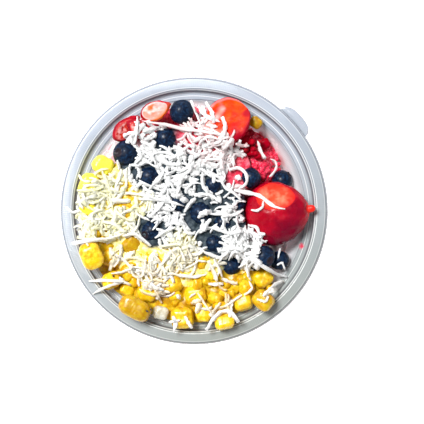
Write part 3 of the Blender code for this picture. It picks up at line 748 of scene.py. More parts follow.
# %% Directions and faces of a ball
def ball(steps):
    """Unit directions over a sphere and the quads between them, from six grids whose ticks are
    tangents of even angles. Points that two grids share are merged."""
    ticks = np.tan(np.linspace(-math.pi / 4, math.pi / 4, steps + 1))
    u, v = np.meshgrid(ticks, ticks, indexing="ij")
    one = np.ones_like(u)
    sides = np.array([np.stack(side, -1) for side in (
        (one, u, v), (-one, v, u), (v, one, u), (u, -one, v), (u, v, one), (v, u, -one))])
    points = sides.reshape(-1, 3)
    _, first, same = np.unique(np.round(points * 1e5).astype(int), axis=0, return_index=True,
                               return_inverse=True)
    i, j = np.meshgrid(np.arange(steps), np.arange(steps), indexing="ij")
    at = (i * (steps + 1) + j).ravel()
    quad = np.stack((at, at + steps + 1, at + steps + 2, at + 1), -1)
    faces = np.concatenate([quad + side * (steps + 1) ** 2 for side in range(6)])
    faces = same.ravel()[faces]
    points = points[first]
    middle = points[faces].mean(1)
    facing = np.cross(points[faces[:, 2]] - points[faces[:, 0]],
                      points[faces[:, 3]] - points[faces[:, 1]])
    inward = (facing * middle).sum(1) < 0
    faces[inward] = faces[inward][:, ::-1]
    return unit(points), faces


def mesh_points(mesh):
    """The places of a mesh's vertices, a row for each."""
    places = np.empty(len(mesh.vertices) * 3, np.float32)
    mesh.vertices.foreach_get("co", places)
    return places.reshape(-1, 3).astype(float)


def solid_of(node):
    """Corner points (n, 3, 3) of a CAD solid's triangles, their normals and the middle of its
    surface: the triangles' middles weighted by their areas."""
    mesh = frame["nodes"][node].data
    mesh.calc_loop_triangles()
    corners = np.empty(len(mesh.loop_triangles) * 3, np.int32)
    mesh.loop_triangles.foreach_get("vertices", corners)
    triangles = mesh_points(mesh)[corners].reshape(-1, 3, 3)
    facing = np.cross(triangles[:, 1] - triangles[:, 0], triangles[:, 2] - triangles[:, 0])
    area = np.linalg.norm(facing, axis=1)
    middle = (triangles.mean(1) * area[:, None]).sum(0) / area.sum()
    return triangles, facing / area[:, None], middle


def planes_met(directions, normals, distances, power):
    """How far each direction runs before it meets the planes: the smooth least of the distance
    to each plane over the cosine of the angle to it. A higher power keeps the edges sharper."""
    towards = np.maximum(directions @ normals.T, 0) / distances
    return (0.5 * (towards ** power).sum(1)) ** (-1 / power)


# %% [markdown]
# ## Mango dice
#
# Each die keeps the planes of its solid. Where the planes meet, the edge is soft and wet, and
# fibres run along the flesh. The finish is golden: so bright in the light that it turns lemon,
# amber in the shade, a little translucent, with a wet coat.

# %% The mango's finish
def mango_finish():
    """Golden flesh in light and dark patches: painted lemon light where its attribute is
    below 0, amber above.
    """
    finish, tree, shader = new_finish("golden_mango", Subsurface_Weight=0.3,
                                      Subsurface_Radius=(1.0, 0.45, 0.05),
                                      Subsurface_Scale=0.003, Coat_Weight=0.12,
                                      Coat_Roughness=0.2, Specular_IOR_Level=0.3)
    flesh = mottled(tree, (0.90, 0.71, 0.04), (0.82, 0.53, 0.006), (0.62, 0.31, 0.002),
                    130.0, 420.0)["Color"]
    ripe = attribute(tree, "ripe")
    lemon = colour_mix(tree, remap(tree, ripe, 0.0, -1.0), flesh, (0.95, 0.86, 0.08))
    over = maths(tree, "MAXIMUM", ripe, 0.0)
    amber = colour_mix(tree, over, lemon, (0.60, 0.54, 0.24), "MULTIPLY")
    fill(tree, shader["Base Color"], amber)
    moist(tree, shader, 0.16 * MM, 300.0)
    return finish


MANGO = mango_finish()

# %% Cut the dice
DIE_BALL = ball(20)
DIE_POWER = 18
DIE_RELIEF = 0.15 * MM
# Painted light: dice at the upper left, towards the lamp, turn lemon as if in strong light.
LEMON_X, LEMON_Y = (-35, -55), (-12, 5)     # where dice turn from plain to lemon, in mm
AMBER_DICE = {"mango_28": 1.0, "mango_23": 0.7, "mango_01": 1.0, "mango_06": 1.0, "mango_02": 0.5}


def dressed_die(node, name, finish, slot, seed):
    """A die between the planes of its solid, with soft dents and fibres along one direction.
    Those at the upper left, towards the lamp, are painted lemon as in strong light, a few
    are amber, and the rest lie between."""
    triangles, normals, middle = solid_of(node)
    distances = (normals * (triangles[:, 0] - middle)).sum(1)
    directions, faces = DIE_BALL
    points = directions * planes_met(directions, normals, distances, DIE_POWER)[:, None]
    rng = np.random.default_rng(seed)
    grain = unit(rng.normal(size=3))
    along = (points @ grain)[:, None] * grain
    fibres = ripples(points - along * 0.8, 1.7 * MM, seed)
    swell = ripples(points, 7 * MM, seed + 1) * DIE_RELIEF + fibres * DIE_RELIEF * 0.3
    lemon = smoothstep(*LEMON_X, middle[0] / MM) * smoothstep(*LEMON_Y, middle[1] / MM)
    ripe = AMBER_DICE.get(node, rng.uniform(0, 0.6) ** 1.5 - lemon)
    points = middle + points + directions * (swell - DIE_RELIEF * 0.4)[:, None]
    return make_piece(name, points, [faces], finish, slot, [node],
                      ripe=np.full(len(points), ripe))


mango_nodes = sorted(name for name in frame["nodes"] if name.startswith("mango_"))
for seed, node in enumerate(mango_nodes):
    dressed_die(node, node.replace("mango", "mango_die"), MANGO, "mango_flesh", 100 + seed)
print("mango dice:", len(mango_nodes))

# %% [markdown]
# ## Blueberries
#
# A blueberry is a slightly flat ball with a crown: a small dish with a ragged, five-pointed
# rim. The solid already has the dish, so its deepest point, the one nearest to the berry's
# middle, tells which way the crown looks.

# %% The blueberry's finish
def blueberry_finish():
    """Ink-dark skin under a thin waxy bloom that is rubbed off in patches."""
    finish, tree, shader = new_finish("blueberry_skin", Coat_Weight=0.08, Coat_Roughness=0.10,
                                      Specular_IOR_Level=0.14)
    skin = mottled(tree, (0.008, 0.034, 0.085), (0.001, 0.008, 0.028), (0.0005, 0.002, 0.010),
                   160.0, 700.0)
    dry = colour_mix(tree, attribute(tree, "crown"), skin["Color"], (0.020, 0.012, 0.018))
    fill(tree, shader["Base Color"], dry)
    fill(tree, shader["Roughness"], remap(tree, skin["Patches"], 0.0, 1.0, 0.36, 0.55))
    fleshy(tree, shader, 0.12 * MM, 500.0)
    return finish


BLUEBERRY = blueberry_finish()

# %% Grow the blueberries
BERRY_BALL = ball(26)
BERRY_FLAT = 0.93                   # height over width
CROWN_ANGLE, CROWN_EDGE = math.radians(20), math.radians(4)
CROWN_DEPTH, CROWN_RISE = 0.15, 0.035       # the dish and its rim, over the berry's radius


def turned_to(direction):
    """Three axes, as rows, of which the last is the direction."""
    side = unit(np.cross(direction, (0.3, 0.5, 0.8)))
    return np.array((side, np.cross(direction, side), direction))


def dressed_berry(node, seed):
    """A flat ball whose radius sinks in a dish at the pole inside a lobed rim."""
    triangles, _, middle = solid_of(node)
    corners = triangles.reshape(-1, 3) - middle
    away = np.linalg.norm(corners, axis=1)
    radius = away.max()
    axes = turned_to(corners[away.argmin()] / away.min())
    directions, faces = BERRY_BALL
    x, y, z = directions.T
    polar, around = np.arccos(np.clip(z, -1, 1)), np.arctan2(y, x)
    reach = 1 / np.sqrt(x ** 2 + y ** 2 + (z / BERRY_FLAT) ** 2)
    lobes = 0.5 + 0.5 * np.cos(5 * around + seed)
    rim_at = CROWN_ANGLE * (0.86 + 0.24 * lobes)
    rim = np.exp(-((polar - rim_at) / CROWN_EDGE) ** 2) * CROWN_RISE * (1 + lobes)
    dish = CROWN_DEPTH * smoothstep(1.0, 0.45, polar / CROWN_ANGLE)
    reach = reach - dish + rim + ripples(directions, 0.9, seed) * 0.006
    points = directions * (reach * radius * 0.985)[:, None]
    crown = smoothstep(1.25, 0.9, polar / CROWN_ANGLE)
    return make_piece(node.replace("blueberry", "berry"), middle + points @ axes, [faces],
                      BLUEBERRY, "blueberry_skin", [node], crown=crown)


berry_nodes = sorted(name for name in frame["nodes"] if name.startswith("blueberry_"))
for seed, node in enumerate(berry_nodes):
    dressed_berry(node, seed)
print("blueberries:", len(berry_nodes))

# %% [markdown]
# ## Strawberries
#
# A strawberry lies along its own axis: a blunt shoulder that tapers to the tip, drawn out to a
# nub on the big one. Cuts are planes, and along each direction from the axis the surface is
# whichever comes first, the skin or the cut. How deep the cut lies under the skin decides its
# colour: dark skin line, pale rim, orange-red heart.

# %% The strawberry's finishes
RED_PEEL = ((0.46, 0.003, 0.016), (0.34, 0.001, 0.010), (0.24, 0.0005, 0.010))
BLEACHED = (0.92, 0.56, 0.54)


def strawberry_finish(name, rim, heart, ripest, rim_at, heart_at, patches=95.0, shine=0.12):
    """Peel, rim and heart follow from the depth of the cut; peel and heart are mottles of
    three colours each. The lower right, away from the lamp, is painted in shade: it runs to
    one deep colour."""
    finish, tree, shader = new_finish(name, Subsurface_Weight=0.12, Subsurface_Scale=0.002,
                                      Subsurface_Radius=(1.0, 0.15, 0.08),
                                      Coat_Weight=shine / 3, Coat_Roughness=0.08,
                                      Specular_IOR_Level=shine)
    depth = attribute(tree, "depth")
    skin = mottled(tree, *RED_PEEL, patches, 110.0)["Color"]
    flesh = mottled(tree, *heart, patches, patches * 2.5)["Color"]
    cut = colour_mix(tree, remap(tree, depth, rim_at, heart_at), rim, flesh)
    cut = colour_mix(tree, attribute(tree, "bleached"), cut, BLEACHED)
    both = colour_mix(tree, remap(tree, depth, 0.008, rim_at * 0.5), skin, cut)
    fill(tree, shader["Base Color"], colour_mix(tree, attribute(tree, "ripe"), both, ripest))
    moist(tree, shader, 0.18 * MM, 300.0)
    return finish


FACET = strawberry_finish("strawberry_facet", (0.62, 0.015, 0.010),
                          ((0.88, 0.34, 0.20), (0.80, 0.10, 0.040), (0.74, 0.035, 0.015)),
                          (0.13, 0.001, 0.016), 0.02, 0.20, 60.0)
HALVED = strawberry_finish("strawberry_halved", (0.78, 0.15, 0.15),
                           ((0.77, 0.082, 0.006), (0.74, 0.048, 0.001), (0.66, 0.016, 0.001)),
                           (0.33, 0.001, 0.013), 0.07, 0.16, shine=0.03)
SLICED = strawberry_finish("strawberry_sliced", (0.55, 0.05, 0.05),
                           ((0.84, 0.46, 0.43), (0.52, 0.03, 0.015), (0.25, 0.003, 0.008)),
                           (0.20, 0.001, 0.006), 0.10, 0.25, 170.0)
PALE_SLICED = strawberry_finish("strawberry_pale_slice", (0.90, 0.45, 0.44),
                                ((0.95, 0.70, 0.68), (0.90, 0.36, 0.33), (0.80, 0.12, 0.02)),
                                (0.80, 0.14, 0.02), 0.10, 0.25, 110.0)

# %% Shape the strawberries
BIG_CUT = ((4.0, 6.5, 9.2), (0.18, 0.52, 0.83))
HALF_CUT = ((0, 0, 1.5), (0, 0, 1))
SLICE_CUTS = (((0, 0, 2.6), (0, 0, 1)), ((0, 0, -2.6), (0, 0, -1)))
STRAWBERRIES = (    # node; length, width, height in mm; turn in degrees; cuts, nub, taper, finish
    ("strawberry_big", 38.5, 39.5, 26.1, (-1.2, -17.4, 8.3), (BIG_CUT,), 4.2, 0.46, FACET),
    ("strawberry_half", 33.0, 28.5, 25.6, (16.4, 9.2, -160.8), (HALF_CUT,), 0, 0.68, HALVED),
    ("strawberry_slice_01", 22.0, 12.0, 10.8, (18.8, 2.8, 42.5), SLICE_CUTS, 0, 0.68, SLICED),
    ("strawberry_slice_02", 19.0, 12.0, 10.8, (-2.2, -13.6, 150.7), SLICE_CUTS, 0, 0.68, SLICED),
    ("strawberry_slice_03", 20.0, 12.0, 10.8, (2.0, 0.3, 24.1), SLICE_CUTS, 0, 0.68,
     PALE_SLICED),
)
CUT_POWER = 28                      # how sharp the edge between skin and cut is
END_ANGLE = 0.04                    # where the first and the last ring lie
NUB_RINGS, NUB_SIZE, NUB_POWER = 14, 0.058, 2.2
NUB_INSIDE = 3                      # how far the nub starts before the tip, in mm
# Painted shade: it starts and is full at these shares of the way to the lower right.
PAINTED_SHADE_FROM = (-0.25, 0.60)           # across each berry, from the upper left to the lower right


def strawberry_shape(length, width, height, cuts, nub, taper, steps=84, around=112):
    """Rings along the axis. A ring's size is a power of a sine of its share of the length, so
    the shoulder is blunt and the tip tapers. Returns the points and the depth of the cut."""
    share = 0.5 - 0.5 * np.cos(np.linspace(END_ANGLE, math.pi - END_ANGLE, steps))
    size = np.sin(math.pi * share ** 0.85) ** taper * (1.04 - 0.10 * share) / 2
    x = (share - 0.5) * length
    if nub:
        x = np.append(x, length / 2 + nub * np.linspace(0.04, 1, NUB_RINGS))
        size = np.append(size, np.zeros(NUB_RINGS))
        inside = (x - length / 2 + NUB_INSIDE) / (nub + NUB_INSIDE)
        bud = NUB_SIZE * np.sqrt(np.clip(1 - np.abs(inside * 2 - 1) ** 3, 0, 1))
        size = (size ** NUB_POWER + bud ** NUB_POWER + 1e-6) ** (1 / NUB_POWER)
    turns = full_turn(around)
    spoke = np.stack((np.zeros(around), np.cos(turns) * width, np.sin(turns) * height), -1)
    reach = size[:, None] * np.linalg.norm(spoke, axis=1)
    spoke = unit(spoke)
    axis = np.stack((x, 0 * x, 0 * x), -1)
    closest = np.full(reach.shape, 1e3)
    for point, normal in cuts:
        normal = unit(np.array(normal))
        room = (np.array(point) - axis) @ normal
        facing = np.maximum(spoke @ normal, 1e-6)
        closest = np.minimum(closest, room[:, None] / facing)
    ratio = np.clip(closest / reach, 0, 2)
    cut = (1 + ratio ** -CUT_POWER) ** (-1 / CUT_POWER)
    points = axis[:, None] + spoke[None] * (reach * cut)[..., None]
    ends = [(x[0] - 0.2, 0, 0), (x[-1] + 0.1, 0, 0)]
    depth = np.append((1 - np.minimum(ratio, 1)).ravel(), (0, 0))
    return np.vstack((points.reshape(-1, 3), ends)) * MM, depth, points.shape[:2]


def dressed_strawberry(node, length, width, height, turn, cuts, nub, taper, finish, seed):
    """Shape a berry along X, turn it, add relief and bring it into its solid's box. Its lower
    right, away from the lamp, is painted in shade. Only the halved berry is bleached on its
    left and crimson on its right."""
    points, depth, shape = strawberry_shape(length, width, height, cuts, nub, taper)
    beyond_tip = (points[:, 0] - length / 2 * MM) / MM
    outward = unit(points)
    skin = ripples(points, 7 * MM, seed) * 0.22 * MM
    skin += ripples(points, 2.2 * MM, seed + 1) * 0.06 * MM
    points = points + outward * skin[:, None]
    rotation = np.array(Euler([math.radians(angle) for angle in turn]).to_matrix())
    points = points @ rotation.T
    low, high = (np.array(corner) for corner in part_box(node))
    points += (low + high) / 2 - (points.min(0) + points.max(0)) / 2
    print(node, "mm:", np.round((points.max(0) - points.min(0)) / MM, 1), "solid:",
          np.round((high - low) / MM, 1))
    share = (points - low) / (high - low)
    uneven = ripples(points, 9 * MM, seed + 2) * 0.06
    # painted shade: grows from the upper left to the lower right, away from the lamp
    toward_shade = share[:, 0] - share[:, 1] + uneven
    nub_share = smoothstep(-0.9, -0.1, beyond_tip) * (nub > 0)
    ripe = smoothstep(*PAINTED_SHADE_FROM, toward_shade) * smoothstep(0.45, 0.02, depth) * (1 - nub_share)
    ripe *= 1 - 0.75 * smoothstep(0.70, 0.88, share[:, 0]) * (nub > 0)
    halved = node == "strawberry_half"
    if halved:
        ripe = np.maximum(ripe, smoothstep(0.22, 0.56, toward_shade + 2 * uneven) * 0.92)
    bleached = smoothstep(0.42, 0.12, share[:, 0] + 2 * uneven) * halved
    return make_piece(node.replace("strawberry", "red_berry"), points, closed_net(*shape),
                      finish, "strawberry_flesh", [node], ripe=ripe, bleached=bleached,
                      depth=np.maximum(depth, nub_share * 0.03))


for seed, row in enumerate(STRAWBERRIES):
    dressed_strawberry(*row, 300 + seed)
dressed_die("strawberry_die", "red_berry_die", HALVED, "strawberry_flesh", 320)

# %% [markdown]
# ## One pale die
#
# At the lower left lies one whitish, translucent piece with a dark seed.

# %% The pale die
def pale_finish():
    """Whitish, glassy flesh with darker patches."""
    finish, tree, shader = new_finish("pale_pitaya", Subsurface_Weight=0.5,
                                      Subsurface_Radius=(1.0, 0.9, 0.7),
                                      Subsurface_Scale=0.004, Coat_Weight=0.4,
                                      Coat_Roughness=0.1)
    flesh = mottled(tree, (0.74, 0.74, 0.68), (0.58, 0.58, 0.51), (0.50, 0.44, 0.30),
                    120.0, 500.0)["Color"]
    fill(tree, shader["Base Color"], flesh)
    moist(tree, shader, 0.2 * MM, 400.0)
    return finish


dressed_die("pale_pitaya_die", "pale_die", pale_finish(), "pale_pitaya_flesh", 330)

# %% [markdown]
# ## The top of the heap as a map
#
# Small things fall on whatever is highest. So every point of every piece laid so far drops its
# height into the cell of a map below it, and a cell that got none takes its neighbours'.

# %% Map the heap
CELL = 0.7 * MM
HALF_MAP = 96 * MM
MAP_CELLS = int(2 * HALF_MAP / CELL)


def cells_under(points):
    """The two indices of the map's cell below each point."""
    spots = ((points[..., :2] + HALF_MAP) / CELL).astype(int)
    return tuple(np.clip(spots, 0, MAP_CELLS - 1).reshape(-1, 2).T)


def raise_map(heights, points):
    """Lift each cell to the highest point above it."""
    np.maximum.at(heights, cells_under(points), points[..., 2].ravel())


def spread_map(heights):
    """Each cell takes the highest of itself and its eight neighbours."""
    padded = np.pad(heights, 1)
    size = heights.shape[0]
    return np.max([padded[i:i + size, j:j + size] for i in range(3) for j in range(3)], axis=0)


def plastic_map():
    """Height of the bowl's upper side over every cell, by its radius."""
    ticks = (np.arange(MAP_CELLS) + 0.5) * CELL - HALF_MAP
    radius = np.hypot(ticks[:, None], ticks)
    return np.where(radius < OUTLINE[-1, 0], np.interp(radius, *OUTLINE.T) + WALL, 0)


def heap_map():
    """The map of the bowl and of every piece laid so far."""
    heights = plastic_map()
    for obj in list(bpy.data.objects):
        if obj.type == "MESH" and "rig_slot" in obj:
            raise_map(heights, mesh_points(obj.data))
    return spread_map(heights)


def height_under(heights, points):
    """The map's height below each point."""
    return heights[cells_under(points)].reshape(points.shape[:-1])


fruit_map = heap_map()
print("heap top, mm:", round(fruit_map.max() / MM, 1))

# %% [markdown]
# ## Which fruit is near
#
# Over the mango the coconut looks cream, over the blueberries grey, where its core is
# painted in dark shade. So a point's share of mango follows from whether the nearest die
# or the nearest berry is closer.

# %% The share of mango at a point
def middles(nodes):
    """The middle of each node's box, in plan."""
    return np.array([[(low + high) / 2 for low, high in zip(*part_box(node))][:2]
                     for node in nodes])


SLICES = ["strawberry_slice_01", "strawberry_slice_02", "strawberry_slice_03"]
MANGO_SPOTS = middles([node for node in mango_nodes if node != "mango_01"])
BERRY_SPOTS = middles([*berry_nodes, "strawberry_big", "strawberry_half", *SLICES])
JUICY_SPOTS = np.array(((11, 40), (24, 36), (36, 28), (30, 22), (0, 47))) * MM


def nearest(points, spots):
    """Distance in plan from each point to the nearest of the spots."""
    flat = points.reshape(-1, points.shape[-1])[:, :2]
    away = np.min([np.hypot(*(flat - spot).T) for spot in spots], axis=0)
    return away.reshape(points.shape[:-1])


def mango_share(points):
    """1 where a die is the nearest fruit by 4 mm, 0 where a berry is by 3 mm."""
    return smoothstep(-3 * MM, 4 * MM, nearest(points, BERRY_SPOTS) - nearest(points, MANGO_SPOTS))


def red_share(points):
    """1 within 6 mm of a juicy spot, 0 beyond 14 mm."""
    return smoothstep(14 * MM, 6 * MM, nearest(points, JUICY_SPOTS))


print("mango near a slice of strawberry:", mango_share(middles(SLICES)).round(2))

# %% [markdown]
# ## Mango pulp and bits between the dice
#
# Cut mango sheds juice, pulp and odd ends, which fill the hollows between the dice. The pulp is
# a band that runs round inside the wall: a flat loop carried round the axis, whose height and
# width grow and fall like an arch. The bits are some fifty small lumps joined in one mesh:
# one ball of directions, squared a little, stretched and turned for each.

# %% Lay the pulp
PULP_AZIMUTHS = np.radians((150, 322))
PULP_INNER = ((150, 52), (170, 37), (200, 36), (225, 32), (250, 27), (275, 28), (295, 36),
              (322, 50))    # azimuth in degrees and inner radius in mm
PULP_TOP, PULP_FLOOR = 59.5 * MM, 50.6 * MM


def pulp_band(steps=200, across=44):
    """A flattened loop of points between two radii, carried round the axis; its height is the
    arch (1 - t^6)^0.5 of the way round, so that both ends close."""
    turns = np.linspace(*PULP_AZIMUTHS, steps)[:, None]
    way = np.linspace(-0.995, 0.995, steps)[:, None]
    arch = (1 - way ** 6) ** 0.5
    loop = full_turn(across)
    square = (np.abs(np.cos(loop)) ** 5 + np.abs(np.sin(loop)) ** 5) ** -0.2
    over, up = np.cos(loop) * square, np.sin(loop) * square
    degrees, inner = np.array(PULP_INNER, float).T
    inner = np.interp(np.degrees(turns), degrees, inner * MM)
    level = (PULP_TOP + PULP_FLOOR) / 2 + up * (PULP_TOP - PULP_FLOOR) / 2 * arch
    outer = wall_radius(level) + INTO_WALL
    middle, half = (inner + outer) / 2, (outer - inner) / 2 * arch
    radius = middle + over * half
    points = round_axis(radius, turns, level)
    bumps = ripples(points, 8 * MM, 21) * 1.1 * MM
    points[..., 2] += bumps * (up > 0.5)
    return points


def make_pulp():
    """Close the band at both ends, and give it an uneven tone."""
    band = pulp_band()
    points = np.vstack((band.reshape(-1, 3), band[0].mean(0), band[-1].mean(0)))
    ripe = 0.4 + 0.6 * smoothstep(-0.6, 0.6, ripples(points, 12 * MM, 22))
    return make_piece("mango_pulp", points, closed_net(*band.shape[:2]), MANGO, "mango_flesh",
                      ripe=ripe)


pulp = make_pulp()
print("pulp faces:", len(pulp.data.polygons))

# %% Lumps joined in one mesh
LUMP_BALL = ball(4)


def lumps(places, sizes, squareness, rng):
    """For every place one ball of directions: on a rounded cube, whose power is the
    squareness, stretched along three axes by the sizes (count, 3), and turned at random."""
    directions, faces = LUMP_BALL
    cube = directions / (np.abs(directions) ** squareness).sum(1, keepdims=True) ** (1 / squareness)
    uneven = 1 + rng.normal(0, 0.03, (len(places), len(cube), 1))
    axes = np.linalg.qr(rng.normal(size=(len(places), 3, 3)))[0]
    points = (cube[None] * uneven * sizes[:, None] / 2) @ axes
    starts = np.arange(len(places))[:, None, None] * len(cube)
    return (places[:, None] + points).reshape(-1, 3), (faces[None] + starts).reshape(-1, 4)


def lump_sizes(rng, count, low, high):
    """Three sizes for each lump: one between low and high (mm), less up to 40% each way."""
    return rng.uniform(low, high, (count, 1)) * rng.uniform(0.6, 1.0, (count, 3)) * MM


def each_lump(values):
    """One value for each lump, repeated for all of its points."""
    return np.repeat(values, len(LUMP_BALL[0]))


BIT_REACH, BIT_CEILING = 66.5 * MM, 60.5 * MM       # no bit lies further out or on a die
NEAR_WALL, NEAR_WALL_LEVEL = 62 * MM, 58 * MM       # beyond the first, none lies higher


def mango_bits(count=340, seed=23):
    """Random places round the dice, kept where mango is nearest and no die lies there; near
    the wall they lie lower."""
    rng = np.random.default_rng(seed)
    spots = MANGO_SPOTS[rng.integers(len(MANGO_SPOTS), size=count)]
    spots = spots + rng.normal(0, 7 * MM, (count, 2))
    below = height_under(fruit_map, spots)
    radius = np.hypot(*spots.T)
    keep = (radius < BIT_REACH) & (mango_share(spots) > 0.5) & (below < BIT_CEILING)
    spots, below, radius = spots[keep], below[keep], radius[keep]
    sizes = lump_sizes(rng, len(spots), 5.0, 11.0)
    levels = np.maximum(rng.uniform(56.5, 60.0, len(spots)) * MM, below)
    levels = np.where(radius > NEAR_WALL, np.minimum(levels, NEAR_WALL_LEVEL), levels)
    points, faces = lumps(np.column_stack((spots, levels)), sizes, 5.0, rng)
    ripe = each_lump(rng.uniform(-0.1, 0.7, len(spots)))
    return make_piece("mango_bits", points, [faces], MANGO, "mango_flesh", ripe=ripe)


bits = mango_bits()
print("mango bits:", len(bits.data.polygons) // len(LUMP_BALL[1]))

# %% [markdown]
# ## Pulp of the pitaya
#
# Between the strawberries the blend isn't smooth: coarse crimson grains heap up on its mound.
# Beside the halved berry's cut a few red crumbs fill the gap.

# %% Heap the crimson grains and the crumbs
GRAIN_SPOTS = np.array(((41, 30, 7), (46, 24, 4), (36, 37, 6), (28, 30, 5), (45, 39, 5),
                        (34, 44, 4), (41, 36, 6))) * MM         # x, y and spread
CRUMB_SPOTS = np.array(((31, 41, 3), (27, 44, 3), (35, 36, 3), (33, 46, 2))) * MM


def round_spots(rng, spots, count, spread):
    """Random places round a few spots, each with its own spread."""
    pick = spots[rng.integers(len(spots), size=count)]
    return pick[:, :2] + rng.normal(size=(count, 2)) * pick[:, 2:] * spread


def crimson_grains(count=800, seed=27):
    """Grains round a few spots, each up to 2.2 mm above the blend."""
    rng = np.random.default_rng(seed)
    spots = round_spots(rng, GRAIN_SPOTS, count, 0.75)
    sizes = lump_sizes(rng, count, 1.8, 4.8)
    levels = blend_level(*spots.T) + rng.uniform(0, 2.2, count) * MM
    points, faces = lumps(np.column_stack((spots, levels)), sizes, 2.6, rng)
    return make_piece("crimson_grains", points, [faces], PULP, "pitaya_blend")


def strawberry_crumbs(count=46, seed=29):
    """A few red lumps that fill the gap below the halved berry's cut."""
    rng = np.random.default_rng(seed)
    spots = round_spots(rng, CRUMB_SPOTS, count, 0.8)
    sizes = lump_sizes(rng, count, 3.0, 6.0)
    levels = rng.uniform(57.0, 61.5, count) * MM
    points, faces = lumps(np.column_stack((spots, levels)), sizes, 3.0, rng)
    depth = each_lump(rng.uniform(0, 0.010, count))
    return make_piece("strawberry_crumbs", points, [faces], HALVED, "strawberry_flesh",
                      depth=depth, ripe=0 * depth)


grains, crumbs = crimson_grains(), strawberry_crumbs()
print("faces of the grains:", len(grains.data.polygons), "crumbs:", len(crumbs.data.polygons))

# %% [markdown]
# ## Shredded coconut
#
# A shred is a thin flat strip that curls, of uneven width and with torn ends. Below the top
# ones the eye meets shaded coconut and fruit, so a bumpy core lies under them. Then about nine
# hundred shreds are dropped in clumps, each draped stiffly over what is under it and raising
# the heap for the next. Last come the largest, laid where the photograph shows them.

# %% The core of the heap
CORE_CENTRE = np.array((-2.8, 3.4)) * MM
CORE_REACH = np.array((33, 47, 49, 46, 61, 58, 50, 42)) * MM   # every 45 degrees from +X
CORE_LOW, CORE_HIGH = 58.0 * MM, 62.4 * MM


def core_reach(turns):
    """How far the core lies from its middle, eased between its eight reaches."""
    place = turns % math.tau / math.tau * len(CORE_REACH)
    before = place.astype(int) % len(CORE_REACH)
    ease = smoothstep(0, 1, place % 1)
    return CORE_REACH[before] * (1 - ease) + CORE_REACH[(before + 1) % len(CORE_REACH)] * ease


def core_finish():
    """Shaded coconut: painted shade in dark slate over blueberries, amber over mango,
    crimson by the strawberries.
    """
    finish, tree, shader = new_finish("shaded_coconut", Roughness=0.7)
    # painted shade: dark slate stands for the shade between the shreds over the blueberries
    painted_shade = mottled(tree, (0.065, 0.090, 0.105), (0.014, 0.030, 0.040), (0.004, 0.014, 0.030),
                    200.0, 420.0)["Color"]
    crimson = mottled(tree, (0.90, 0.20, 0.26), (0.78, 0.02, 0.07), (0.40, 0.004, 0.02),
                      220.0, 420.0)["Color"]
    amber = mottled(tree, (1.0, 0.98, 0.75), (1.0, 0.90, 0.32), (0.90, 0.62, 0.03),
                    180.0, 420.0)["Color"]
    both = colour_mix(tree, attribute(tree, "mango"), painted_shade, amber)
    fill(tree, shader["Base Color"], colour_mix(tree, attribute(tree, "juicy"), both, crimson))
    fleshy(tree, shader, 0.6 * MM, 450.0)
    return finish


def make_core(around=260, across=80):
    """A flat cake: out over its bumpy top and back under it, both sinking to its edge by
    (1 - t^8)^0.5 of its share t of the way out."""
    turns = full_turn(around)
    share = np.sin(np.linspace(0.02, math.pi - 0.02, 2 * across))[:, None]
    over = (np.arange(2 * across) < across)[:, None]
    reach = core_reach(turns) * share
    points = round_axis(reach, turns, 0.0) + (*CORE_CENTRE, 0.0)
    round_edge = np.sqrt(np.clip(1 - share ** 8, 0, 1))
    bumps = ripples(points, 4 * MM, 31) * 0.7 * MM * over
    half = np.where(over, 1, -1) * (CORE_HIGH - CORE_LOW) / 2
    points[..., 2] = (CORE_HIGH + CORE_LOW) / 2 + half * round_edge + bumps * round_edge
    points = np.vstack((points.reshape(-1, 3), (*CORE_CENTRE, CORE_HIGH),
                        (*CORE_CENTRE, CORE_LOW)))
    return make_piece("coconut_core", points, closed_net(2 * across, around), core_finish(),
                      "shredded_coconut", ["shredded_coconut"],
                      mango=mango_share(points), juicy=red_share(points))


core = make_core()
print("core faces:", len(core.data.polygons))

# %% Where the coconut lies
CLUMPS = (                          # x, y and spread in mm, and share of the shreds
    (-63, 9, 7, 6), (-56, 17, 8, 7), (-52, 3, 9, 8), (-59, -7, 8, 7), (-48, -12, 7, 5),
    (-66, -14, 4, 2), (-38, 25, 8, 7), (-28, 38, 7, 6), (-22, 49, 5, 2), (-3, 50, 5, 3),
    (5, 56, 5, 3), (-9, 37, 9, 8), (9, 34, 9, 8), (23, 38, 7, 5), (19, 30, 6, 4),
    (-15, 20, 10, 9), (0, 18, 9, 7), (-24, 31, 8, 5), (25, 22, 6, 4), (-17, 7, 9, 8),
    (-32, 9, 6, 4), (-9, -7, 10, 8), (-22, -1, 7, 5), (-2, -14, 9, 5), (-15, -19, 8, 4),
    (14, 11, 5, 3), (22, 4, 5, 3), (20, -4, 5, 3), (25, -19, 8, 10), (36, -14, 5, 5),
    (33, -28, 5, 5), (23, -25, 5, 5), (34, -20, 6, 6), (-38, -19, 6, 2), (-43, -10, 6, 4),
    (-28, -33, 8, 7), (-17, -37, 7, 5), (-26, -44, 7, 5), (-49, -29, 6, 2), (-9, -24, 7, 5),
    (0, -31, 8, 3), (12, -34, 6, 2), (22, -44, 8, 2), (-5, -52, 12, 2), (24, -58, 12, 2),
    (21, 36, 6, 6), (13, 43, 6, 5), (10, -11, 6, 3), (19, -3, 5, 3), (2, 27, 9, 5),
    (-33, 46, 7, 4), (17, 24, 6, 5), (-60, 1, 8, 5), (28, -19, 6, 5), (33, -25, 4, 4),
)
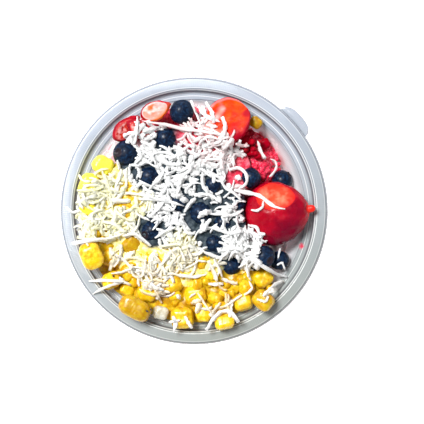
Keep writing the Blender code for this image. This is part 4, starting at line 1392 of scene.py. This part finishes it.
BARE = (                            # x, y and radius in mm: fruit that shows through
    (51, -1, 19), (30, 26, 6), (23, 23, 3), (-24, 59, 6), (-42, 52, 6), (-7.5, 60.5, 8),
    (-17.5, 44, 6), (-42, 35, 8), (22, 56, 11), (29, 47, 6), (39, 28, 10), (44, 40, 8),
    (35, 20, 6), (4, -1.5, 6.5), (14, -6, 3.5), (12.5, -20, 4.5), (23, -34, 6.5),
    (44, -28, 7), (53, -31, 6), (-10, 4, 4), (-26, -12.5, 5.5), (-27.5, 20.5, 4.5),
    (12, 15.5, 5), (21, -9, 3), (0, -11, 2.5), (38, 54, 5), (-39.5, 6, 5), (-38, -20, 5),
    (-54, 31, 5), (-61, -27, 8), (-37, -57, 10), (3, -44, 7), (-11, -47, 5), (-13, -61, 8),
    (18, -66, 6), (32, -54, 6), (44, -46, 7), (-65, 15, 3), (-64, -1, 3),
)
HEAP_RADIUS = 70 * MM


def bareness(x, y):
    """1 over bare fruit, falling to 0 just outside each bare spot."""
    bare = np.zeros_like(x)
    for place_x, place_y, radius in BARE:
        away = np.hypot(x / MM - place_x, y / MM - place_y)
        bare = np.maximum(bare, smoothstep(radius * 1.1, radius * 0.75, away))
    return bare


def scatter(rng, count):
    """Places in the clumps, of which those on bare fruit are mostly dropped."""
    clumps = np.array(CLUMPS, float)
    pick = rng.choice(len(clumps), count, p=clumps[:, 3] / clumps[:, 3].sum())
    spots = clumps[pick, :2] + rng.normal(size=(count, 2)) * clumps[pick, 2:3] * 0.75
    spots *= MM
    keep = rng.uniform(size=count) > bareness(*spots.T) * 0.96
    return spots[keep & (np.hypot(*spots.T) < HEAP_RADIUS)]


print("clumps:", len(CLUMPS), "bare spots:", len(BARE))


# %% Lay strips on the map
STATIONS = 8
SHRED_THICK = 0.8 * MM
DROOP = 1.2 * MM                    # how far an end may sink below the point before it
TOP_LIMIT = cad_box[1].z - 0.5 * MM


def strip_paths(rng, starts, length, bend):
    """Arcs in plan with small kinks: each starts in a random heading and turns evenly."""
    count = len(starts)
    heading = rng.uniform(0, math.tau, (count, 1))
    arc = rng.normal(0, bend, (count, 1)) * np.linspace(-0.5, 0.5, STATIONS - 1)
    turn = heading + arc + np.cumsum(rng.normal(0, 0.13, (count, STATIONS - 1)), 1)
    step = rng.uniform(*length, (count, 1)) / (STATIONS - 1)
    moves = np.stack((np.cos(turn) * step, np.sin(turn) * step), -1)
    paths = np.concatenate((np.zeros((count, 1, 2)), np.cumsum(moves, 1)), 1)
    return starts[:, None] + paths - paths[:, STATIONS // 2, None]


def drape(heights, paths, rng, lift):
    """Heights along the strips: what lies under them, bridged stiffly from point to point. The
    ends curl up by the square of the way from the middle."""
    under = height_under(heights, paths)
    level = under.copy()
    for _ in range(4):
        middle = (level[:, :-2] + level[:, 2:]) / 2
        level[:, 1:-1] = np.maximum(under[:, 1:-1], middle)
        for end, before in ((0, 1), (-1, -2)):
            level[:, end] = np.maximum(under[:, end], level[:, before] - DROOP)
    curl = np.linspace(-1, 1, paths.shape[1]) ** 2 * rng.uniform(0, lift, (len(paths), 1))
    return np.minimum(level + SHRED_THICK * 0.6 + curl, TOP_LIMIT)


def strips(paths, widths, rolls):
    """Flat strips with four corners at each station; widths and rolls are given for each."""
    along = unit(np.gradient(paths, axis=1))
    level = np.stack((along[..., 1], -along[..., 0], np.zeros(along.shape[:2])), -1)
    level /= np.maximum(np.linalg.norm(level, axis=2, keepdims=True), 1e-6)
    side = unit(level + rolls[..., None] * (0, 0, 1))
    up = np.cross(side, along) * SHRED_THICK / 2
    side = side * (widths / 2)[..., None]
    ring = np.stack((paths + side + up * 0.6, paths - side + up * 0.6,
                     paths - side * 0.8 - up, paths + side * 0.8 - up), 2)
    count, stations = paths.shape[:2]
    start = (np.arange(count) * stations * 4)[:, None, None]
    wrap = net(stations, 4)[None] + start
    caps = np.array([[3, 2, 1, 0], np.arange(4) + (stations - 1) * 4])[None] + start
    return ring.reshape(-1, 3), np.concatenate((wrap, caps), 1).reshape(-1, 4)


def torn_widths(rng, count, stations, low, high):
    """Widths along each strip: uneven, and narrowing to each end by its own amount."""
    along = np.linspace(0, 1, stations)
    ends = rng.uniform(0.1, 0.85, (2, count, 1))
    taper = 1 - ends[0] * (1 - along) ** 5 - ends[1] * along ** 5
    ragged = rng.uniform(0.62, 1.15, (count, stations))
    return rng.uniform(low, high, (count, 1)) * MM * taper * ragged


def twists(rng, count, stations):
    """How far a strip leans sideways: by its own amount, changing along it."""
    lean = rng.normal(0, 0.35, (count, 1))
    return lean + rng.normal(0, 0.45, (count, 1)) * np.linspace(-1, 1, stations)


# %% The coconut's finish
TAN_FROM = (-14 * MM, -50 * MM)     # from here down the stains turn from lemon to tan
# Lemon is partly painted light: the yellow that the mango throws up into the coconut.
STAINS_AND_BOUNCE = {"lemon": (1.0, 0.955, 0.48), "tan": (0.88, 0.64, 0.32), "pink": (0.95, 0.45, 0.45)}


def coconut_finish():
    """White, slightly translucent strips; each stain multiplies the colour by its own, and the
    lemon one also paints yellow light bounced up from the mango.
    """
    finish, tree, shader = new_finish("coconut_shreds", Roughness=0.6, Subsurface_Weight=0.6,
                                      Subsurface_Radius=(1.0, 1.0, 1.0),
                                      Subsurface_Scale=0.005, Specular_IOR_Level=0.3)
    tone = mottled(tree, (0.99, 0.99, 0.98), (0.97, 0.97, 0.96), (0.90, 0.91, 0.90),
                   300.0, 1500.0)["Color"]
    for name, colour in STAINS_AND_BOUNCE.items():
        tone = colour_mix(tree, attribute(tree, name), tone, colour, "MULTIPLY")
    fill(tree, shader["Base Color"], tone)
    return finish


def stains_and_bounce(paths, rng):
    """Lemon over the mango, partly a stain and partly painted yellow light bounced up from it;
    tan over it at the bottom, and pink near the strawberries.
    """
    middle = paths.mean(1)
    share = mango_share(middle)
    low = smoothstep(*TAN_FROM, middle[:, 1])
    count = len(paths)
    return {"tan": share * low * rng.uniform(0, 1, count) ** 1.1,
            "lemon": share * (1 - low) * rng.uniform(0.2, 1, count),
            "pink": red_share(middle) * rng.uniform(0, 0.8, count) ** 1.5}


# %% Drop the shreds
SHREDS = (      # name, batches, shreds in each, length and width in mm, bend, lift in mm, seed
    ("coconut_flakes", 3, 80, (3, 6.5), (2.6, 4.6), 0.5, 0.4, 40),
    ("coconut_short", 8, 80, (4.5, 11), (1.5, 3.4), 0.8, 0.9, 41),
    ("coconut_long", 6, 40, (9, 17), (1.6, 2.9), 1.1, 1.4, 42),
)


def drop_shreds(heights, batches, per_batch, length, width, bend, lift, seed):
    """Lay shreds in batches; each batch raises the map for the next one. Returns their paths,
    widths and twists."""
    rng = np.random.default_rng(seed)
    length = [value * MM for value in length]
    laid = []
    for _ in range(batches):
        paths = strip_paths(rng, scatter(rng, per_batch), length, bend)
        over_bare = bareness(*paths.reshape(-1, 2).T).reshape(paths.shape[:2]).mean(1)
        paths = paths[over_bare < rng.uniform(0.05, 0.5, len(paths))]
        paths = np.dstack((paths, drape(heights, paths, rng, lift * MM)))
        raise_map(heights, paths + np.array((0, 0, SHRED_THICK * 0.5)))
        laid.append(paths)
    laid = np.concatenate(laid)
    widths = torn_widths(rng, len(laid), laid.shape[1], *width)
    return laid, widths, twists(rng, len(laid), laid.shape[1])


def make_shreds(name, laid, widths, rolls, seed, **given):
    """One mesh of strips, each stained by where it lies unless its stains are given."""
    points, faces = strips(laid, widths, rolls)
    tones = stains_and_bounce(laid, np.random.default_rng(seed)) | given
    spread = {key: np.repeat(values, laid.shape[1] * 4) for key, values in tones.items()}
    make_piece(name, points, [faces], COCONUT, "shredded_coconut", **spread)
    print(name, len(laid), "shreds,", len(faces) * 2, "triangles")


COCONUT = coconut_finish()
heap = heap_map()
for name, *recipe, seed in SHREDS:
    make_shreds(name, *drop_shreds(heap, *recipe, seed), seed + 10)

# %% [markdown]
# ## The largest shreds, laid one by one
#
# These lie where the photograph shows them, so each is a row of the photograph's own pixels. A
# pixel is a line of sight, and where it meets the heap follows from the height there.

# %% From a pixel to a place on the heap
PICTURE_PIXELS = 424


def under_pixels(pixels, heights):
    """The place on the heap that each pixel of the photograph shows, found in three rounds:
    the further above the rim, the less a pixel covers."""
    from_middle = (np.asarray(pixels, float) - PICTURE_PIXELS / 2) * (1, -1)
    at_rim = from_middle * WIDTH_AT_RIM / PICTURE_PIXELS
    spots = PICTURE_MIDDLE + at_rim
    for _ in range(3):
        above = height_under(heights, spots) - RIM_HEIGHT
        spots = PICTURE_MIDDLE + at_rim * (1 - above / ABOVE_RIM)[..., None]
    return spots


BY_HAND = (                 # width in mm, how tan, and the pixels that the strip runs through
    (2.7, 0, (234, 190), (248, 193), (260, 195), (267, 202), (276, 208), (285, 209)),
    (2.1, 0, (251, 210), (257, 211), (263, 207), (263, 201)),
    (1.8, 0, (126, 193), (144, 195), (155, 199), (169, 201)),
    (1.5, 0, (136, 139), (137, 129), (137.5, 117)),
    (2.4, 0, (142, 121), (162, 124), (180, 129), (198, 131), (212, 133), (226, 135)),
    (2.8, 0, (222, 117), (225.5, 125), (224, 136)),
    (2.4, 0, (257.5, 141), (260, 150), (265, 159)),
    (1.8, 0, (270, 159), (275.5, 161), (276.5, 168), (272, 175), (269, 177)),
    (2.4, 0, (229, 170), (239, 167), (247, 174), (247, 184), (237, 190)),
    (2.2, 0, (221, 181), (225, 188), (234, 193), (241, 200)),
    (2.0, 0.2, (93, 294), (101, 289), (114, 284), (124, 282)),
    (2.2, 0.2, (89, 281), (101, 280), (116, 281), (126, 282), (131, 285)),
    (2.3, 0, (251, 257), (262, 266), (275, 273), (287, 277)),
    (2.0, 0, (247, 259), (247, 268), (248, 277)),
    (1.5, 0.1, (249, 281), (253, 289), (244, 295)),
    (3.2, 0, (206, 327), (212, 320), (221, 311), (228, 310), (238, 320)),
    (1.9, 0, (225, 307), (234, 300), (242, 295)),
    (2.7, 0.35, (208.5, 261), (214, 272), (217, 281)),
    (2.2, 0.25, (214, 259), (220, 270), (222, 277)),
    (2.2, 0, (180, 275), (194, 277), (207, 274)),
    (1.6, 0.5, (169, 248), (176, 258)),
    (1.6, 0.4, (180, 248), (185, 261)),
    (1.5, 0.5, (187, 248), (192, 259)),
    (2.2, 0, (66, 207), (73, 213), (79, 211)),
    (2.5, 0, (75, 243), (91, 240), (108, 239), (123, 234)),
    (2.4, 0, (123, 236), (134, 233), (144, 240), (151, 246)),
    (2.4, 0, (155, 238), (166, 231), (176, 227)),
    (2.5, 0, (151, 216), (160, 206), (166, 199)),
    (2.3, 0, (139, 199), (155, 199), (171, 202), (184, 206)),
    (2.3, 0, (198, 193), (210, 195), (221, 202)),
    (3.8, 0, (198, 218), (203, 213), (212, 211)),
    (2.8, 0, (203, 231), (207, 223), (211, 219)),
    (2.2, 0, (210, 227), (221, 231), (232, 234), (242, 231)),
    (2.0, 0, (248, 225), (257, 227), (259, 234), (265, 234)),
    (1.9, 0, (253, 238), (258, 247), (259, 251)),
    (1.4, 0, (280, 248), (278, 258)),
    (1.6, 0, (277, 265), (282, 262), (285, 270)),
    (2.3, 0.1, (185, 316), (188, 322), (192, 328)),
    (2.5, 0, (173, 316), (176, 323), (174, 331)),
    (2.2, 0, (169, 322), (180, 320)),
    (3.8, 0.7, (191, 303), (203, 300)),
    (3.4, 0.6, (200, 303), (196, 313)),
    (1.5, 0.7, (155, 290), (162, 303)),
    (1.9, 0.4, (257, 299), (266, 302), (268, 296)),
    (3.8, 0.35, (269, 293), (275, 285), (284, 281)),
    (2.8, 0, (139, 148), (141, 158), (135, 163)),
    (2.2, 0.35, (116, 254), (125, 261), (132, 268)),
    (2.2, 0.3, (114, 267), (119, 260), (121, 252)),
    (5.0, 0.15, (263, 296), (272, 288), (283, 281)),
    (2.6, 0, (206, 103), (212, 112), (214, 123)),
    (2.4, 0, (198, 109), (207, 117), (220, 122)),
    (2.2, 0, (236, 144), (242, 146), (249, 146)),
)
HAND_STATIONS = 12
FINE, ROUNDING = 60, 6      # fine points along a row, and how many on each side are averaged


def smooth_rows(rows):
    """Each row of points as the same number of stations, evenly spaced and rounded off: every
    fine point becomes the mean of itself and its neighbours on both sides."""
    routes = []
    for row in rows:
        row = np.array(row, float)
        along = np.append(0, np.cumsum(np.hypot(*np.diff(row, axis=0).T)))
        fine = np.linspace(0, along[-1], FINE)
        route = np.stack([np.interp(fine, along, axis) for axis in row.T], -1)
        padded = np.pad(route, ((ROUNDING, ROUNDING), (0, 0)), "reflect", reflect_type="odd")
        route = np.mean([padded[i:i + FINE] for i in range(2 * ROUNDING + 1)], axis=0)
        routes.append(route[np.linspace(0, FINE - 1, HAND_STATIONS).round().astype(int)])
    return np.array(routes)


# %% Lay them
def lay_by_hand(heights, seed=61):
    """Strips along the rows, with the given widths and tans and no lemon."""
    rng = np.random.default_rng(seed)
    spots = under_pixels(smooth_rows([row[2:] for row in BY_HAND]), heights)
    paths = np.dstack((spots, drape(heights, spots, rng, 0.8 * MM)))
    base = np.array([row[0] for row in BY_HAND])[:, None]
    widths = torn_widths(rng, len(paths), HAND_STATIONS, 1.0, 1.05) * base
    rolls = twists(rng, len(paths), HAND_STATIONS) * 0.6
    tan = np.array([row[1] for row in BY_HAND], float)
    make_shreds("coconut_largest", paths, widths, rolls, seed + 1, tan=tan, lemon=0 * tan)


lay_by_hand(spread_map(heap))

# %% [markdown]
# ## A few dark seeds
#
# Four black pitaya seeds stuck to the mango and to the pale die.

# %% Press in the seeds
SEED_PIXELS = ((113.5, 276.0), (151.0, 309.5), (147.0, 311.0), (160.0, 285.0))
SEED_SIZE = np.array((1.9, 1.2, 1.1)) * MM


def seed_finish():
    """A black, slightly shiny husk."""
    finish, tree, shader = new_finish("dark_seed", Roughness=0.3, Coat_Weight=0.3)
    husk = mottled(tree, (0.05, 0.035, 0.03), (0.02, 0.012, 0.012), (0.008, 0.005, 0.005),
                   900.0, 3000.0)["Color"]
    fill(tree, shader["Base Color"], husk)
    return finish


def dark_seeds(heights, seed=71):
    """A lump of a seed's size under each pixel, 0.2 mm above the fruit there."""
    spots = under_pixels(SEED_PIXELS, heights)
    places = np.column_stack((spots, height_under(heights, spots) + 0.2 * MM))
    sizes = np.tile(SEED_SIZE, (len(places), 1))
    points, faces = lumps(places, sizes, 2.0, np.random.default_rng(seed))
    return make_piece("dark_seeds", points, [faces], seed_finish(), "pitaya_blend")


seeds = dark_seeds(fruit_map)
print("seeds:", len(seeds.data.polygons) // len(LUMP_BALL[1]))

# %% [markdown]
# ## The imported model's box
#
# The dressed bowl has to stay in the imported model's box, so that box is printed.

# %% Print the imported model's box
import json
print("cad box, mm:", [[round(v / MM, 1) for v in corner] for corner in cad_box])
